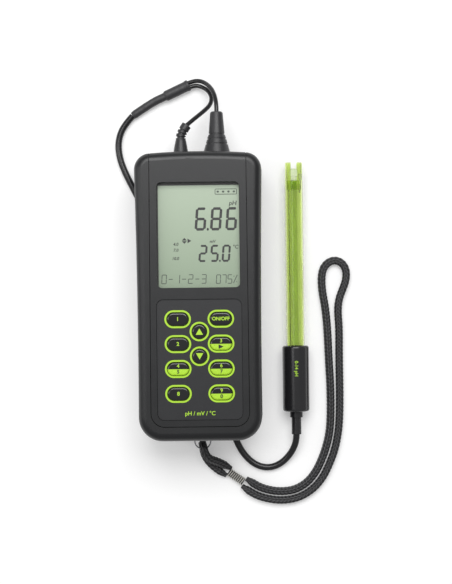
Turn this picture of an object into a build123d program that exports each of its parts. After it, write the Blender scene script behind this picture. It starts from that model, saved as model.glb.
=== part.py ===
from build123d import *
import math
import os

# A handheld pH and redox meter lying on its back, with its electrode and wrist strap.
# Millimetres. The floor is z = 0, +Y points to the connector end, +X to the electrode's side.
# The meter's own pieces are drawn about its centre line and moved to meter_x, meter_y at the end.

# Where the meter and the electrode lie
meter_x = -15.35
meter_y = -4.75
probe_x = 49.05

# Case outline and shells
case_length = 191.5
case_width_top = 85.4
case_width_waist = 82.2
case_width_bottom = 82.6
waist_y = -25.0
end_arch = 2.0
corner_radius_top = 11.5
corner_radius_bottom = 16.5
foot_height = 5.5
front_height = 26.0
rear_height = 18.5
wall = 2.6
side_taper = 2.0
front_edge_radius = 5.5
rear_edge_radius = 5.0
fit_gap = 0.2
case_half = case_length / 2
rear_z = foot_height
parting_z = rear_z + rear_height
face_z = parting_z + front_height

# Bezel, window and keypad openings
seam_gap = 0.45
bezel_bottom_y = -85.2
bezel_corner_radius = 8.75
bezel_thickness = 3.0
bezel_skirt = 10.0
bezel_z = face_z - bezel_thickness
tray_thickness = 2.0
tray_margin = 2.0
tray_z = bezel_z - tray_thickness
window_width = 54.6
window_height = 69.1
window_y = 40.05
window_corner = 3.5
window_lap = 2.0
window_thickness = 1.2
gasket_thickness = 0.6
keypad_width = 56.0
keypad_height = 79.1
keypad_y = -41.55
keypad_corner = 4.5
keypad_thickness = 2.0
keypad_top = bezel_z + keypad_thickness
bezel_margin = 4.0
bezel_narrowing = 0.6
bezel_half_bottom = max(keypad_width, window_width) / 2 + bezel_margin
bezel_half_top = bezel_half_bottom - bezel_narrowing

# Keys
key_length = 14.3
key_height = 8.7
round_key_diameter = 9.7
key_gap = 0.3
ring_stroke = 1.2
ring_depth = 0.7
ring_proud = 0.25
key_rise = 1.5
key_edge_radius = 1.3
key_flange = 1.2
key_flange_thickness = 0.9
key_flange_gap = 0.15
key_travel = 0.8
key_stem_radius = 2.5
key_column_x = 14.1
key_first_row_y = -15.0
key_pitch = 16.25
arrow_up_y = -23.2
arrow_down_y = -39.35
key_opening_width = 48.0
key_opening_top = -7.5
key_opening_bottom = -72.0
mat_thickness = 2.0
mat_overlap = 3.0
mat_stem_gap = 0.7

# Board, display and what is on the board
board_top_y = 88.0
board_bottom_y = -88.0
board_thickness = 1.6
board_drop = 5.4
board_z = tray_z - board_drop - board_thickness
board_top = board_z + board_thickness
post_radius = 3.0
post_top_y = 84.0
post_bottom_y = -82.0
screw_clearance = 0.05
board_screw_radius = 1.2
board_screw_head = 2.2
board_screw_length = 5.6
glass_width = 56.4
board_margin = 1.0
board_width = glass_width + 2 * board_margin
glass_height = 74.0
glass_thickness = 2.2
glass_drop = 0.5
lcd_wall = 1.2
lcd_gap = 0.1
post_inset = 3.7
post_x = board_width / 2 - post_inset
dome_height = 1.1
dome_radius = 2.6
chip_thickness = 1.6
buzzer_radius = 6.0
buzzer_height = 7.0
buzzer_x = 17.0
buzzer_y = 56.0

# Case screws
screw_top_y = 62.0
screw_bottom_y = -52.0
boss_radius = 3.0
boss_gap = 0.1
screw_x = glass_width / 2 + lcd_wall + lcd_gap + boss_gap + boss_radius
sleeve_radius = 3.6
screw_radius = 1.4
screw_head_radius = 2.6
screw_head_height = 2.2
screw_recess = 2.0
screw_length = 24.0

# Rear recess, feet and battery
recess_half_width = 34.5
recess_bottom_y = -20.0
recess_top_y = 48.0
recess_depth = 6.0
recess_corner = 8.0
recess_floor = 2.0
foot_radius = 5.0
foot_x = 30.0
foot_top_y = 80.0
foot_bottom_y = -76.0
foot_peg_radius = 2.0
foot_head_radius = 2.7
battery_width = 26.5
battery_length = 46.5
battery_thickness = 17.5
battery_y = -60.0
battery_gap = 0.6
terminal_height = 2.0
snap_thickness = 3.4
bay_wall = 2.0
door_half_width = 17.5
door_bottom_y = -86.0
door_thickness = 2.4
door_tongue = 1.4
door_tongue_thickness = 1.2
door_travel = 4.0
door_margin = 2.5

# Strap pin and pocket in the bottom wall
strap_x = 0.75
strap_slot_width = 13.0
strap_slot_z = 8.4
strap_slot_height = 4.2
strap_pocket_depth = 4.6
strap_pin_radius = 0.85
strap_pin_y = -94.4

# End panel and sockets
panel_half_width = 29.0
panel_z = 14.5
panel_height = 22.0
panel_corner = 3.0
panel_recess = 1.55
panel_thickness = 4.4
panel_lip = 1.5
panel_face_y = case_half - panel_recess
socket_z = 25.0
bnc_x = 12.7
bnc_barrel_radius = 4.85
bnc_bore_radius = 4.0
bnc_reach = 11.0
bnc_flange_radius = 6.2
bnc_flange_thickness = 1.2
bnc_tail_radius = 4.6
bnc_tail_length = 14.0
bnc_lug_radius = 0.9
bnc_lug_reach = 0.6
bnc_lug_setback = 6.85
phono_x = -11.35
phono_housing_radius = 6.0
phono_hole_radius = 5.1
phono_barrel_radius = 4.1
phono_tail_length = 12.0
nut_thickness = 2.2
nut_margin = 2.6

# Plugs and boots
running_gap = 0.3
boot_start = 1.5
boot_radii = (8.9, 7.3, 6.4, 5.4, 4.2)
boot_stations = (0.0, 5.7, 9.0, 12.2, 27.2)
boot_groove_depth = 0.55
boot_groove_width = 0.9
boot_end_radius = 0.8
coupling_radius = 6.2
coupling_bore = 5.75
coupling_start = 2.0
coupling_length = 5.6
coupling_lip = 1.1
plug_sleeve_radius = 3.85
plug_neck_radius = 3.3
ferrule_radius = 2.4
lead_diameter = 2.9
phono_shell_radius = 4.85
phono_shell_bore = 4.25
phono_cone_base = 4.9
phono_cone_neck = 2.6
phono_cone_start = 1.55
phono_cone_length = 8.3
relief_core_radius = 2.1
relief_ring_radius = 3.0
relief_ring_width = 2.4
relief_ring_pitch = 3.7
relief_route = [(-26.7, 99.0, 25.0), (-26.4, 104.2, 25.0), (-22.6, 109.4, 24.6)]
relief_bend_radius = 8.0

# Leads, splice and electrode cable
bnc_lead_route = [
    (-2.65, 108.5, 25.0),
    (-2.65, 115.5, 25.0),
    (-2.5, 122.5, 24.6),
    (-3.6, 129.8, 20.4),
    (-6.4, 136.0, 14.6),
    (-11.6, 140.7, 8.2),
    (-17.4, 141.9, 4.4),
    (-22.3, 140.0, 4.0),
]
phono_lead_route = [
    (-22.6, 109.4, 24.6),
    (-18.0, 113.6, 21.8),
    (-11.4, 119.2, 17.0),
    (-6.6, 124.2, 12.9),
    (-5.6, 129.8, 9.4),
    (-8.0, 134.6, 6.6),
    (-12.6, 137.6, 4.6),
    (-17.0, 138.6, 4.0),
    (-21.0, 137.2, 4.0),
]
splice_start = (-21.2, 138.9, 4.0)
splice_step = (-36.4, 131.7, 3.9)
splice_bend = (-46.9, 127.2, 3.5)
splice_end = (-59.8, 118.4, 2.9)
splice_wide_radius = 3.6
splice_narrow_radius = 2.8
splice_bend_radius = 34.0
cable_diameter = 4.5
cable_floor = cable_diameter / 2
cable_upper_start = [
    (-59.8, 118.4, 2.9),
    (-64.5, 113.4, 2.3),
    (-68.5, 106.6, cable_floor),
    (-70.1, 98.0, cable_floor),
    (-68.6, 88.0, cable_floor),
    (-64.7, 78.2, cable_floor),
    (-59.2, 67.4, cable_floor),
    (-51.6, 52.0, cable_floor),
    (-46.2, 36.6, 2.9),
    (-44.6, 22.4, 7.55),
]
cable_lower_end = [
    (-31.4, -22.4, 2.5),
    (-21.4, -44.4, cable_floor),
    (-11.6, -62.6, cable_floor),
    (-0.6, -84.2, cable_floor),
    (5.6, -96.6, cable_floor),
    (9.0, -105.6, cable_floor),
    (12.6, -112.2, cable_floor),
    (18.0, -118.2, cable_floor),
    (24.6, -121.9, cable_floor),
    (31.8, -122.4, cable_floor),
    (38.6, -119.6, 2.6),
    (44.0, -114.2, 4.2),
    (47.3, -108.6, 6.6),
    (49.05, -102.4, 9.0),
    (49.05, -96.0, 9.0),
]
coil_y = 14.0
coil_lift = 0.8
coil_radius = 26.0
coil_columns = 2
coil_layers = 2
coil_entry_angle = 183.0
coil_exit_angle = 206.0
tie_thickness = 0.8
tie_width = 4.0
tie_angle = 300.0

# Electrode
handle_radius = 9.0
handle_front_y = -39.2
handle_length = 44.5
handle_edge_radius = 1.6
handle_wall = 2.4
tube_radius = 6.0
tube_wall = 1.0
tube_depth = 26.0
tube_spigot_radius = 5.6
tube_spigot_reach = 0.6
tube_shoulder_y = 72.3
guard_length = 12.3
guard_slot = 4.2
stem_radius = 2.1
bulb_radius = 3.2
bulb_setback = 3.7
stopper_length = 6.0
redox_pin_radius = 0.5
redox_pin_offset = 4.0
redox_pin_reach = 5.0
wire_radius = 0.35
wire_offset = 3.4
collar_radius = 4.4
collar_length = 4.0
relief_radius = 3.3
relief_length = 11.5
gland_bore_gap = 0.15
gland_cable_depth = 3.2

# Wrist strap
strap_diameter = 5.6
strap_floor = strap_diameter / 2
ring_centre = (-14.6, -103.1, 9.4)
ring_radius = 5.5
ring_wire_radius = 0.5
ring_tilt = 11.0
binding_start = (2.8, -125.0, strap_floor)
binding_end = (13.1, -132.0, strap_floor)
binding_half_width = 3.1
eye_route = [
    (1.2, -127.4, strap_floor),
    (-6.2, -122.8, strap_floor),
    (-13.6, -114.7, strap_floor),
    (-15.0, -105.0, strap_floor),
    (-14.6, -105.0, 13.7),
    (-12.0, -114.5, 12.4),
    (-3.4, -117.8, 6.5),
    (4.4, -122.6, strap_floor),
]
loop_route = [
    (14.7, -129.6, strap_floor),
    (21.6, -134.9, strap_floor),
    (31.0, -138.0, strap_floor),
    (39.6, -138.8, strap_floor),
    (48.2, -137.5, strap_floor),
    (56.0, -133.0, strap_floor),
    (61.7, -126.3, strap_floor),
    (65.9, -118.2, strap_floor),
    (69.3, -109.2, strap_floor),
    (71.7, -99.4, strap_floor),
    (72.7, -88.6, strap_floor),
    (72.8, -68.0, strap_floor),
    (71.8, -48.2, strap_floor),
    (71.2, -29.1, strap_floor),
    (69.9, -13.8, strap_floor),
    (68.0, -3.5, strap_floor),
    (67.4, 5.0, strap_floor),
    (68.2, 11.5, strap_floor),
    (70.6, 15.7, strap_floor),
    (74.6, 18.2, strap_floor),
    (79.0, 18.1, strap_floor),
    (82.7, 15.4, strap_floor),
    (84.6, 10.8, strap_floor),
    (84.2, 4.6, strap_floor),
    (82.0, -1.2, strap_floor),
    (79.4, -7.6, strap_floor),
    (78.3, -15.5, strap_floor),
    (79.2, -27.5, strap_floor),
    (78.9, -48.0, strap_floor),
    (79.1, -68.0, strap_floor),
    (78.8, -88.0, strap_floor),
    (77.7, -99.6, strap_floor),
    (75.2, -111.0, strap_floor),
    (71.4, -120.6, strap_floor),
    (66.8, -129.8, strap_floor),
    (59.8, -137.7, strap_floor),
    (50.2, -143.2, strap_floor),
    (39.8, -144.9, strap_floor),
    (29.8, -143.9, strap_floor),
    (18.8, -140.3, strap_floor),
    (11.5, -134.4, strap_floor),
]

os.makedirs("parts", exist_ok=True)


def write(name, *solids):
    """Writes a node: one solid, or several like pieces that share the node."""
    part = solids[0] if len(solids) == 1 else Compound(children=list(solids))
    export_step(part, f"parts/{name}.step")


def write_meter_piece(name, *solids):
    write(name, *[Pos(meter_x, meter_y, 0) * solid for solid in solids])


# Basic shapes


def block(x, y, z, width, height, depth, corner=0.0):
    """A plate centred at x, y that rises depth from z, with rounded upright edges."""
    face = RectangleRounded(width, height, corner) if corner > 0 else Rectangle(width, height)
    return Pos(x, y, z) * extrude(face, depth)


def obround(x, y, z, length, height, depth):
    """An upright post of obround section, or a round one where length and height are equal."""
    face = SlotOverall(length, height) if length > height + 0.001 else Circle(height / 2)
    return Pos(x, y, z) * extrude(face, depth)


def post(x, y, z, radius, height):
    return Pos(x, y, z) * extrude(Circle(radius), height)


def rod(x, z, start_y, end_y, radius):
    """A round bar along Y."""
    return Pos(x, start_y, z) * Rot(-90, 0, 0) * extrude(Circle(radius), end_y - start_y)


def hexagon_bar(x, z, start_y, end_y, radius):
    face = RegularPolygon(radius, 6)
    return Pos(x, start_y, z) * Rot(-90, 0, 0) * extrude(face, end_y - start_y)


def turned(x, z, profile):
    """A solid turned about an axis along Y, from points (radius, y)."""
    face = make_face(Polyline(*profile, close=True))
    return Pos(x, 0, z) * revolve(face, Axis.Y)


def corner_radii(points):
    """The largest arc that each corner's two runs allow."""
    radii = []
    for before, here, after in zip(points, points[1:], points[2:]):
        run_in = Vector(*here) - Vector(*before)
        run_out = Vector(*after) - Vector(*here)
        half_turn = math.radians(run_in.get_angle(run_out)) / 2
        radii.append(0.45 * min(run_in.length, run_out.length) / math.tan(half_turn))
    return radii


def cord_tube(name, points, diameter):
    """A round cord of straight runs joined by arcs."""
    radii = corner_radii(points)
    path = FilletPolyline(*points, radius=radii)
    start = Plane(origin=path @ 0, z_dir=path % 0)
    tube = sweep(start * Circle(diameter / 2), path=path)
    expected = math.pi * diameter**2 / 4 * path.length
    print(
        name,
        "length",
        round(path.length, 1),
        "radii in diameters",
        [round(radius / diameter, 1) for radius in radii],
        "volume ratio",
        round(tube.volume / expected, 4),
    )
    return tube


# Case shells


def case_outline(inset=0.0):
    """The case seen from above, drawn in by inset."""
    half = case_half - inset
    top = case_width_top / 2 - inset
    waist = case_width_waist / 2 - inset
    bottom = case_width_bottom / 2 - inset
    right = ThreePointArc((bottom, -half), (waist, waist_y), (top, half - end_arch))
    arch = ThreePointArc((top, half - end_arch), (0, half), (-top, half - end_arch))
    left = ThreePointArc((-top, half - end_arch), (-waist, waist_y), (-bottom, -half))
    base = Line((-bottom, -half), (bottom, -half))
    face = make_face([right, arch, left, base])
    face = fillet(face.vertices().group_by(Axis.Y)[-1], corner_radius_top - inset)
    return fillet(face.vertices().group_by(Axis.Y)[0], corner_radius_bottom - inset)


def shell_block(inset, height, edge_radius):
    """Half of the case as a solid that rises from z = 0 and narrows, with a round top edge."""
    body = extrude(case_outline(inset), height, taper=side_taper)
    return fillet(body.faces().sort_by(Axis.Z)[-1].edges(), edge_radius)


front_outer = Pos(0, 0, parting_z) * shell_block(0, front_height, front_edge_radius)
front_inner = Pos(0, 0, parting_z) * shell_block(
    wall, front_height - wall, front_edge_radius - wall
)
rear_outer = Pos(0, 0, parting_z) * mirror(shell_block(0, rear_height, rear_edge_radius), Plane.XY)
rear_inner = Pos(0, 0, parting_z) * mirror(
    shell_block(wall, rear_height - wall, rear_edge_radius - wall), Plane.XY
)


def bezel_outline(grow=0.0):
    """The centre plate from its bottom seam to past the connector end."""
    beyond = case_half + 5
    points = [
        (-bezel_half_top - grow, beyond),
        (bezel_half_top + grow, beyond),
        (bezel_half_bottom + grow, bezel_bottom_y - grow),
        (-bezel_half_bottom - grow, bezel_bottom_y - grow),
    ]
    face = make_face(Polyline(*points, close=True))
    return fillet(face.vertices().group_by(Axis.Y)[0], bezel_corner_radius + grow)


def bezel_block(grow, drop):
    """The room that the plate takes in the case, with its skirt over the connector end."""
    plate = Pos(0, 0, bezel_z - drop) * extrude(bezel_outline(grow), bezel_thickness + drop + 1)
    skirt_width = 2 * (bezel_half_top + grow)
    skirt_z = bezel_z - bezel_skirt - grow
    skirt_y = case_half - wall - grow
    skirt_reach = case_half + 5 - skirt_y
    skirt = block(
        0, skirt_y + skirt_reach / 2, skirt_z, skirt_width, skirt_reach, bezel_z + 1 - skirt_z
    )
    return plate + skirt


panel_opening = block(
    0,
    case_half,
    panel_z - fit_gap,
    2 * (panel_half_width + fit_gap),
    4 * wall,
    panel_height + 2 * fit_gap,
)
gasket_inner = 1.7
gasket_outer = 0.9
gasket_below = 1.0
gasket_above = 0.4


def gasket_ring(gap):
    ring = extrude(case_outline(gasket_outer - gap), gasket_below + gasket_above)
    ring -= extrude(case_outline(gasket_inner + gap), gasket_below + gasket_above)
    return Pos(0, 0, parting_z - gasket_below) * ring


case_gasket = gasket_ring(0) - panel_opening
gasket_groove = gasket_ring(0.05)

key_opening_y = (key_opening_top + key_opening_bottom) / 2
key_opening_height = key_opening_top - key_opening_bottom
tray_window = block(
    0, window_y, tray_z - 1, window_width, window_height, tray_thickness + 2, window_corner
)
tray_keys = block(
    0, key_opening_y, tray_z - 1, key_opening_width, key_opening_height, tray_thickness + 2, 3
)
tray = Pos(0, 0, tray_z) * extrude(bezel_outline(tray_margin), face_z - tray_z)
front_shell = front_outer - front_inner + (tray & front_outer)
for side in (-1, 1):
    for y in (screw_top_y, screw_bottom_y):
        front_shell += post(side * screw_x, y, parting_z, boss_radius, tray_z + 1 - parting_z)
    for y in (post_top_y, post_bottom_y):
        front_shell += post(side * post_x, y, board_top, post_radius, tray_z + 1 - board_top)
front_shell -= bezel_block(seam_gap, 0) + tray_window + tray_keys
front_shell -= panel_opening + gasket_groove
for side in (-1, 1):
    for y in (screw_top_y, screw_bottom_y):
        front_shell -= post(
            side * screw_x, y, parting_z - 1, screw_radius + screw_clearance, screw_length
        )
    for y in (post_top_y, post_bottom_y):
        front_shell -= post(
            side * post_x,
            y,
            board_top - 1,
            board_screw_radius + screw_clearance,
            board_screw_length,
        )
write_meter_piece("front_shell", front_shell)
write_meter_piece("case_gasket", case_gasket)

window_hole = block(
    0, window_y, bezel_z - 1, window_width, window_height, bezel_thickness + 2, window_corner
)
rebate_width = window_width + 2 * window_lap
rebate_height = window_height + 2 * window_lap
rebate_corner = window_corner + window_lap
rebate_depth = gasket_thickness + window_thickness
window_rebate = block(
    0, window_y, bezel_z - 1, rebate_width, rebate_height, rebate_depth + 1, rebate_corner
)
keypad_hole = block(
    0, keypad_y, bezel_z - 1, keypad_width, keypad_height, bezel_thickness + 2, keypad_corner
)
front_bezel = (bezel_block(0, 0) & front_outer) - window_hole - window_rebate - keypad_hole
write_meter_piece("front_bezel", front_bezel)

seat_width = rebate_width - 2 * fit_gap
seat_height = rebate_height - 2 * fit_gap
seat_corner = rebate_corner - fit_gap
display_window = block(
    0,
    window_y,
    bezel_z + gasket_thickness,
    seat_width,
    seat_height,
    window_thickness,
    seat_corner,
)
window_gasket = block(
    0, window_y, bezel_z, seat_width, seat_height, gasket_thickness, seat_corner
) - block(
    0,
    window_y,
    bezel_z - 1,
    window_width + fit_gap,
    window_height + fit_gap,
    gasket_thickness + 2,
    window_corner,
)
write_meter_piece("display_window", display_window)
write_meter_piece("window_gasket", window_gasket)

# Keypad: each key's name, place and cap size
rows = [key_first_row_y - row * key_pitch for row in range(4)]
keys = {
    "key_escape": (-key_column_x, rows[0], key_length, key_height),
    "key_power": (key_column_x, rows[0], key_length, key_height),
    "key_recall": (-key_column_x, rows[1], key_length, key_height),
    "key_range": (key_column_x, rows[1], key_length, key_height),
    "key_clear": (-key_column_x, rows[2], key_length, key_height),
    "key_edit": (key_column_x, rows[2], key_length, key_height),
    "key_setup": (-key_column_x, rows[3], key_length, key_height),
    "key_accept": (key_column_x, rows[3], key_length, key_height),
    "key_up": (0, arrow_up_y, round_key_diameter, round_key_diameter),
    "key_down": (0, arrow_down_y, round_key_diameter, round_key_diameter),
}
flange_top = bezel_z - key_flange_gap
flange_z = flange_top - key_flange_thickness
stem_z = board_top + dome_height + key_travel + 0.1

keypad_panel = block(
    0,
    keypad_y,
    bezel_z,
    keypad_width - 2 * fit_gap,
    keypad_height - 2 * fit_gap,
    keypad_thickness,
    keypad_corner - fit_gap,
)
key_rings = []
keypad_mat = block(
    0,
    key_opening_y,
    tray_z - mat_thickness,
    key_opening_width + 2 * mat_overlap,
    key_opening_height + 2 * mat_overlap,
    mat_thickness,
    3,
)
switch_domes = []
for name, (x, y, length, height) in keys.items():
    hole_length = length + 2 * key_gap
    hole_height = height + 2 * key_gap
    ring_length = hole_length + 2 * ring_stroke
    ring_height = hole_height + 2 * ring_stroke
    keypad_panel -= obround(
        x, y, bezel_z - 1, hole_length, hole_height, keypad_thickness + 2
    )
    keypad_panel -= obround(x, y, keypad_top - ring_depth, ring_length, ring_height, 2)
    ring = obround(
        x, y, keypad_top - ring_depth, ring_length, ring_height, ring_depth + ring_proud
    )
    ring -= obround(x, y, keypad_top - ring_depth - 1, hole_length, hole_height, 4)
    key_rings.append(ring)
    cap = obround(x, y, flange_top, length, height, keypad_top + key_rise - flange_top)
    cap = fillet(cap.faces().sort_by(Axis.Z)[-1].edges(), key_edge_radius)
    flange = obround(
        x, y, flange_z, length + 2 * key_flange, height + 2 * key_flange, key_flange_thickness
    )
    stem = post(x, y, stem_z, key_stem_radius, flange_z - stem_z)
    write_meter_piece(name, cap + flange + stem)
    keypad_mat -= post(
        x, y, tray_z - mat_thickness - 1, key_stem_radius + mat_stem_gap, mat_thickness + 2
    )
    dome = post(x, y, board_top, dome_radius, dome_height)
    dome = fillet(dome.faces().sort_by(Axis.Z)[-1].edges(), dome_height * 0.7)
    switch_domes.append(dome)
write_meter_piece("keypad_panel", keypad_panel)
write_meter_piece("key_rings", *key_rings)
write_meter_piece("keypad_mat", keypad_mat)
write_meter_piece("switch_domes", *switch_domes)

# Display and board
glass_z = tray_z - glass_drop - glass_thickness
lcd_panel = block(0, window_y, glass_z, glass_width, glass_height, glass_thickness, 0.6)
frame_width = glass_width + 2 * (lcd_wall + lcd_gap)
frame_height = glass_height + 2 * (lcd_wall + lcd_gap)
lcd_frame = block(
    0, window_y, board_top, frame_width, frame_height, tray_z - lcd_gap - board_top, 1
)
lcd_frame -= block(
    0, window_y, glass_z, glass_width + 2 * lcd_gap, glass_height + 2 * lcd_gap, 10, 0.6
)
ledge = 2.0
lcd_frame -= block(
    0, window_y, board_top - 1, glass_width - 2 * ledge, glass_height - 2 * ledge, 10, 0.6
)
strip_depth = 2.4
zebra_strip = block(
    0,
    window_y - glass_height / 2 + ledge + strip_depth / 2 + lcd_gap,
    board_top,
    glass_width - 2 * ledge - 2,
    strip_depth,
    glass_z - board_top,
)
write_meter_piece("lcd_panel", lcd_panel)
write_meter_piece("lcd_frame", lcd_frame)
write_meter_piece("zebra_strip", zebra_strip)

board_y = (board_top_y + board_bottom_y) / 2
main_board = block(
    0, board_y, board_z, board_width, board_top_y - board_bottom_y, board_thickness, 2
)
board_screws = []
for side in (-1, 1):
    for y in (post_top_y, post_bottom_y):
        x = side * post_x
        main_board -= post(x, y, board_z - 1, board_screw_radius + screw_clearance, 4)
        head = post(x, y, board_z - board_screw_head * 0.6, board_screw_head, board_screw_head * 0.6)
        shank = post(x, y, board_z, board_screw_radius, board_screw_length)
        board_screws.append(head + shank)
write_meter_piece("main_board", main_board)
write_meter_piece("board_screws", *board_screws)

chips = [(0, 40, 14, 14), (-15, 56, 9, 6), (14, 22, 8, 5), (-14, 20, 10, 7), (0, -10, 20, 8)]
board_chips = [
    block(x, y, board_z - chip_thickness, width, height, chip_thickness)
    for x, y, width, height in chips
]
write_meter_piece("board_chips", *board_chips)
buzzer = post(buzzer_x, buzzer_y, board_z - buzzer_height, buzzer_radius, buzzer_height)
buzzer -= post(buzzer_x, buzzer_y, board_z - buzzer_height - 1, 1.0, 3)
write_meter_piece("buzzer", buzzer)

# Rear shell with its recess, battery bay, screw sleeves and strap pocket
recess_y = (recess_bottom_y + recess_top_y) / 2
recess_height = recess_top_y - recess_bottom_y


def recess_block(grow):
    return block(
        0,
        recess_y,
        rear_z - 1,
        2 * (recess_half_width + grow),
        recess_height + 2 * grow,
        recess_depth + grow + 1,
        recess_corner + grow,
    )


bay_bottom_y = battery_y - battery_length / 2 - battery_gap
bay_top_y = battery_y + battery_length / 2 + terminal_height + snap_thickness + battery_gap
bay_y = (bay_bottom_y + bay_top_y) / 2
bay_length = bay_top_y - bay_bottom_y
bay_width = battery_width + 2 * battery_gap
battery_z = rear_z + door_thickness + 0.4
bay_roof_z = battery_z + battery_thickness + 0.4
door_top_y = recess_bottom_y - 2.0
door_length = door_top_y - door_bottom_y
door_y = (door_top_y + door_bottom_y) / 2
door_bed_height = door_thickness + door_margin

rear_shell = rear_outer - rear_inner
rear_shell += recess_block(recess_floor) & rear_outer
door_bed_length = recess_bottom_y - door_bottom_y + door_margin
rear_shell += block(
    0,
    recess_bottom_y - door_bed_length / 2,
    rear_z,
    2 * (door_half_width + door_tongue + door_margin),
    door_bed_length,
    door_bed_height,
)
rear_shell += block(
    0,
    bay_y,
    rear_z,
    bay_width + 2 * bay_wall,
    bay_length + 2 * bay_wall,
    bay_roof_z + bay_wall - rear_z,
    1,
)
for side in (-1, 1):
    for y in (screw_top_y, screw_bottom_y):
        rear_shell += post(side * screw_x, y, rear_z, sleeve_radius, parting_z - rear_z)
pocket_width = strap_slot_width + 2 * bay_wall
pocket_reach = wall + strap_pocket_depth
strap_pocket = block(
    strap_x,
    -case_half + pocket_reach / 2,
    strap_slot_z - bay_wall,
    pocket_width,
    pocket_reach,
    strap_slot_height + 2 * bay_wall,
)
rear_shell += strap_pocket & rear_outer
rear_shell -= recess_block(0)
rear_shell -= block(0, bay_y, rear_z - 1, bay_width, bay_length, bay_roof_z - rear_z + 1)
lead_slot_y = bay_top_y - snap_thickness / 2 - battery_gap
rear_shell -= block(0, lead_slot_y, bay_roof_z - 1, 12, snap_thickness, bay_wall + 2)
strap_slot_reach = pocket_reach - bay_wall
rear_shell -= block(
    strap_x,
    -case_half + strap_slot_reach / 2 - 1,
    strap_slot_z,
    strap_slot_width,
    strap_slot_reach + 2,
    strap_slot_height,
)
rear_shell -= panel_opening + gasket_groove


def door_block(gap, length_beyond):
    """The door's plate and side tongues; the track is the same shape with a gap."""
    top = door_top_y + length_beyond
    length = top - door_bottom_y + gap
    y = top - length / 2
    plate = block(
        0, y, rear_z - gap, 2 * (door_half_width + gap), length, door_thickness + 2 * gap
    )
    tongue_z = rear_z + door_thickness - door_tongue_thickness - gap
    tongues = block(
        0,
        y,
        tongue_z,
        2 * (door_half_width + door_tongue + gap),
        length,
        door_tongue_thickness + 2 * gap,
    )
    return plate + tongues


battery_door = door_block(0, 0)
for rib in range(5):
    groove_y = door_top_y - 6 - rib * 2.4
    battery_door -= block(0, groove_y, rear_z - 1, 18, 1.2, 1.5)
rear_shell -= door_block(fit_gap, recess_bottom_y - door_top_y + 1)
write_meter_piece("battery_door", battery_door)

feet = []
for side in (-1, 1):
    for y in (foot_top_y, foot_bottom_y):
        x = side * foot_x
        rear_shell -= post(x, y, rear_z - 1, foot_peg_radius + 0.05, wall + 2)
        pad = post(x, y, 0, foot_radius, foot_height)
        pad = fillet(pad.faces().sort_by(Axis.Z)[0].edges(), 0.8)
        peg = post(x, y, foot_height, foot_peg_radius, wall + 1.2)
        head = post(x, y, foot_height + wall + 0.1, foot_head_radius, 1.1)
        feet.append(pad + peg + head)
write_meter_piece("rear_feet", *feet)

case_screws = []
head_z = rear_z + screw_recess
for side in (-1, 1):
    for y in (screw_top_y, screw_bottom_y):
        x = side * screw_x
        rear_shell -= post(
            x, y, rear_z - 1, screw_head_radius + fit_gap, screw_recess + screw_head_height + 1
        )
        rear_shell -= post(x, y, rear_z, screw_radius + screw_clearance, rear_height + 1)
        head = post(x, y, head_z, screw_head_radius, screw_head_height)
        head -= block(x, y, head_z - 1, 3.4, 0.8, 1.9) + block(x, y, head_z - 1, 0.8, 3.4, 1.9)
        shank_z = head_z + screw_head_height
        shank = post(x, y, shank_z, screw_radius, screw_length)
        case_screws.append(head + shank)
write_meter_piece("case_screws", *case_screws)

pin_z = strap_slot_z - 1.0
rear_shell -= post(
    strap_x, strap_pin_y, pin_z, strap_pin_radius + screw_clearance, strap_slot_height + 2.0
)
write_meter_piece("rear_shell", rear_shell)
strap_pin = post(strap_x, strap_pin_y, pin_z, strap_pin_radius, strap_slot_height + 2.0)
write_meter_piece("strap_pin", strap_pin)

# Battery
battery = block(0, battery_y, battery_z, battery_width, battery_length, battery_thickness, 0.0)
battery = fillet(battery.edges().filter_by(Axis.Y), 2.0)
terminal_y = battery_y + battery_length / 2
terminal_z = battery_z + battery_thickness / 2
for x, radius in ((-6.35, 2.9), (6.35, 4.0)):
    battery += rod(x, terminal_z, terminal_y, terminal_y + terminal_height, radius)
write_meter_piece("battery", battery)
snap_y = terminal_y + terminal_height + snap_thickness / 2
snap_depth = battery_thickness - 2
battery_snap = block(0, snap_y, battery_z + 1, battery_width - 2, snap_thickness, snap_depth)
lead_z = battery_z + 1 + snap_depth
battery_leads = [post(x, snap_y, lead_z, 0.65, board_z - lead_z) for x in (-3, 3)]
write_meter_piece("battery_snap", battery_snap, *battery_leads)

# Connector end
end_panel = Pos(0, panel_face_y, panel_z + panel_height / 2) * Rot(90, 0, 0) * extrude(
    RectangleRounded(2 * panel_half_width, panel_height, panel_corner), panel_thickness
)
lip_thickness = 1.5
lip_y = panel_face_y - panel_thickness + lip_thickness
end_panel += Pos(0, lip_y, panel_z + panel_height / 2) * Rot(90, 0, 0) * extrude(
    RectangleRounded(
        2 * (panel_half_width + panel_lip), panel_height + 2 * panel_lip, panel_corner
    ),
    lip_thickness,
)
panel_back_y = panel_face_y - panel_thickness
end_panel -= rod(bnc_x, socket_z, panel_back_y - 1, case_half, bnc_tail_radius + 0.1)
end_panel -= rod(phono_x, socket_z, panel_back_y - 1, case_half, phono_housing_radius + 0.1)
write_meter_piece("end_panel", end_panel)

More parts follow.
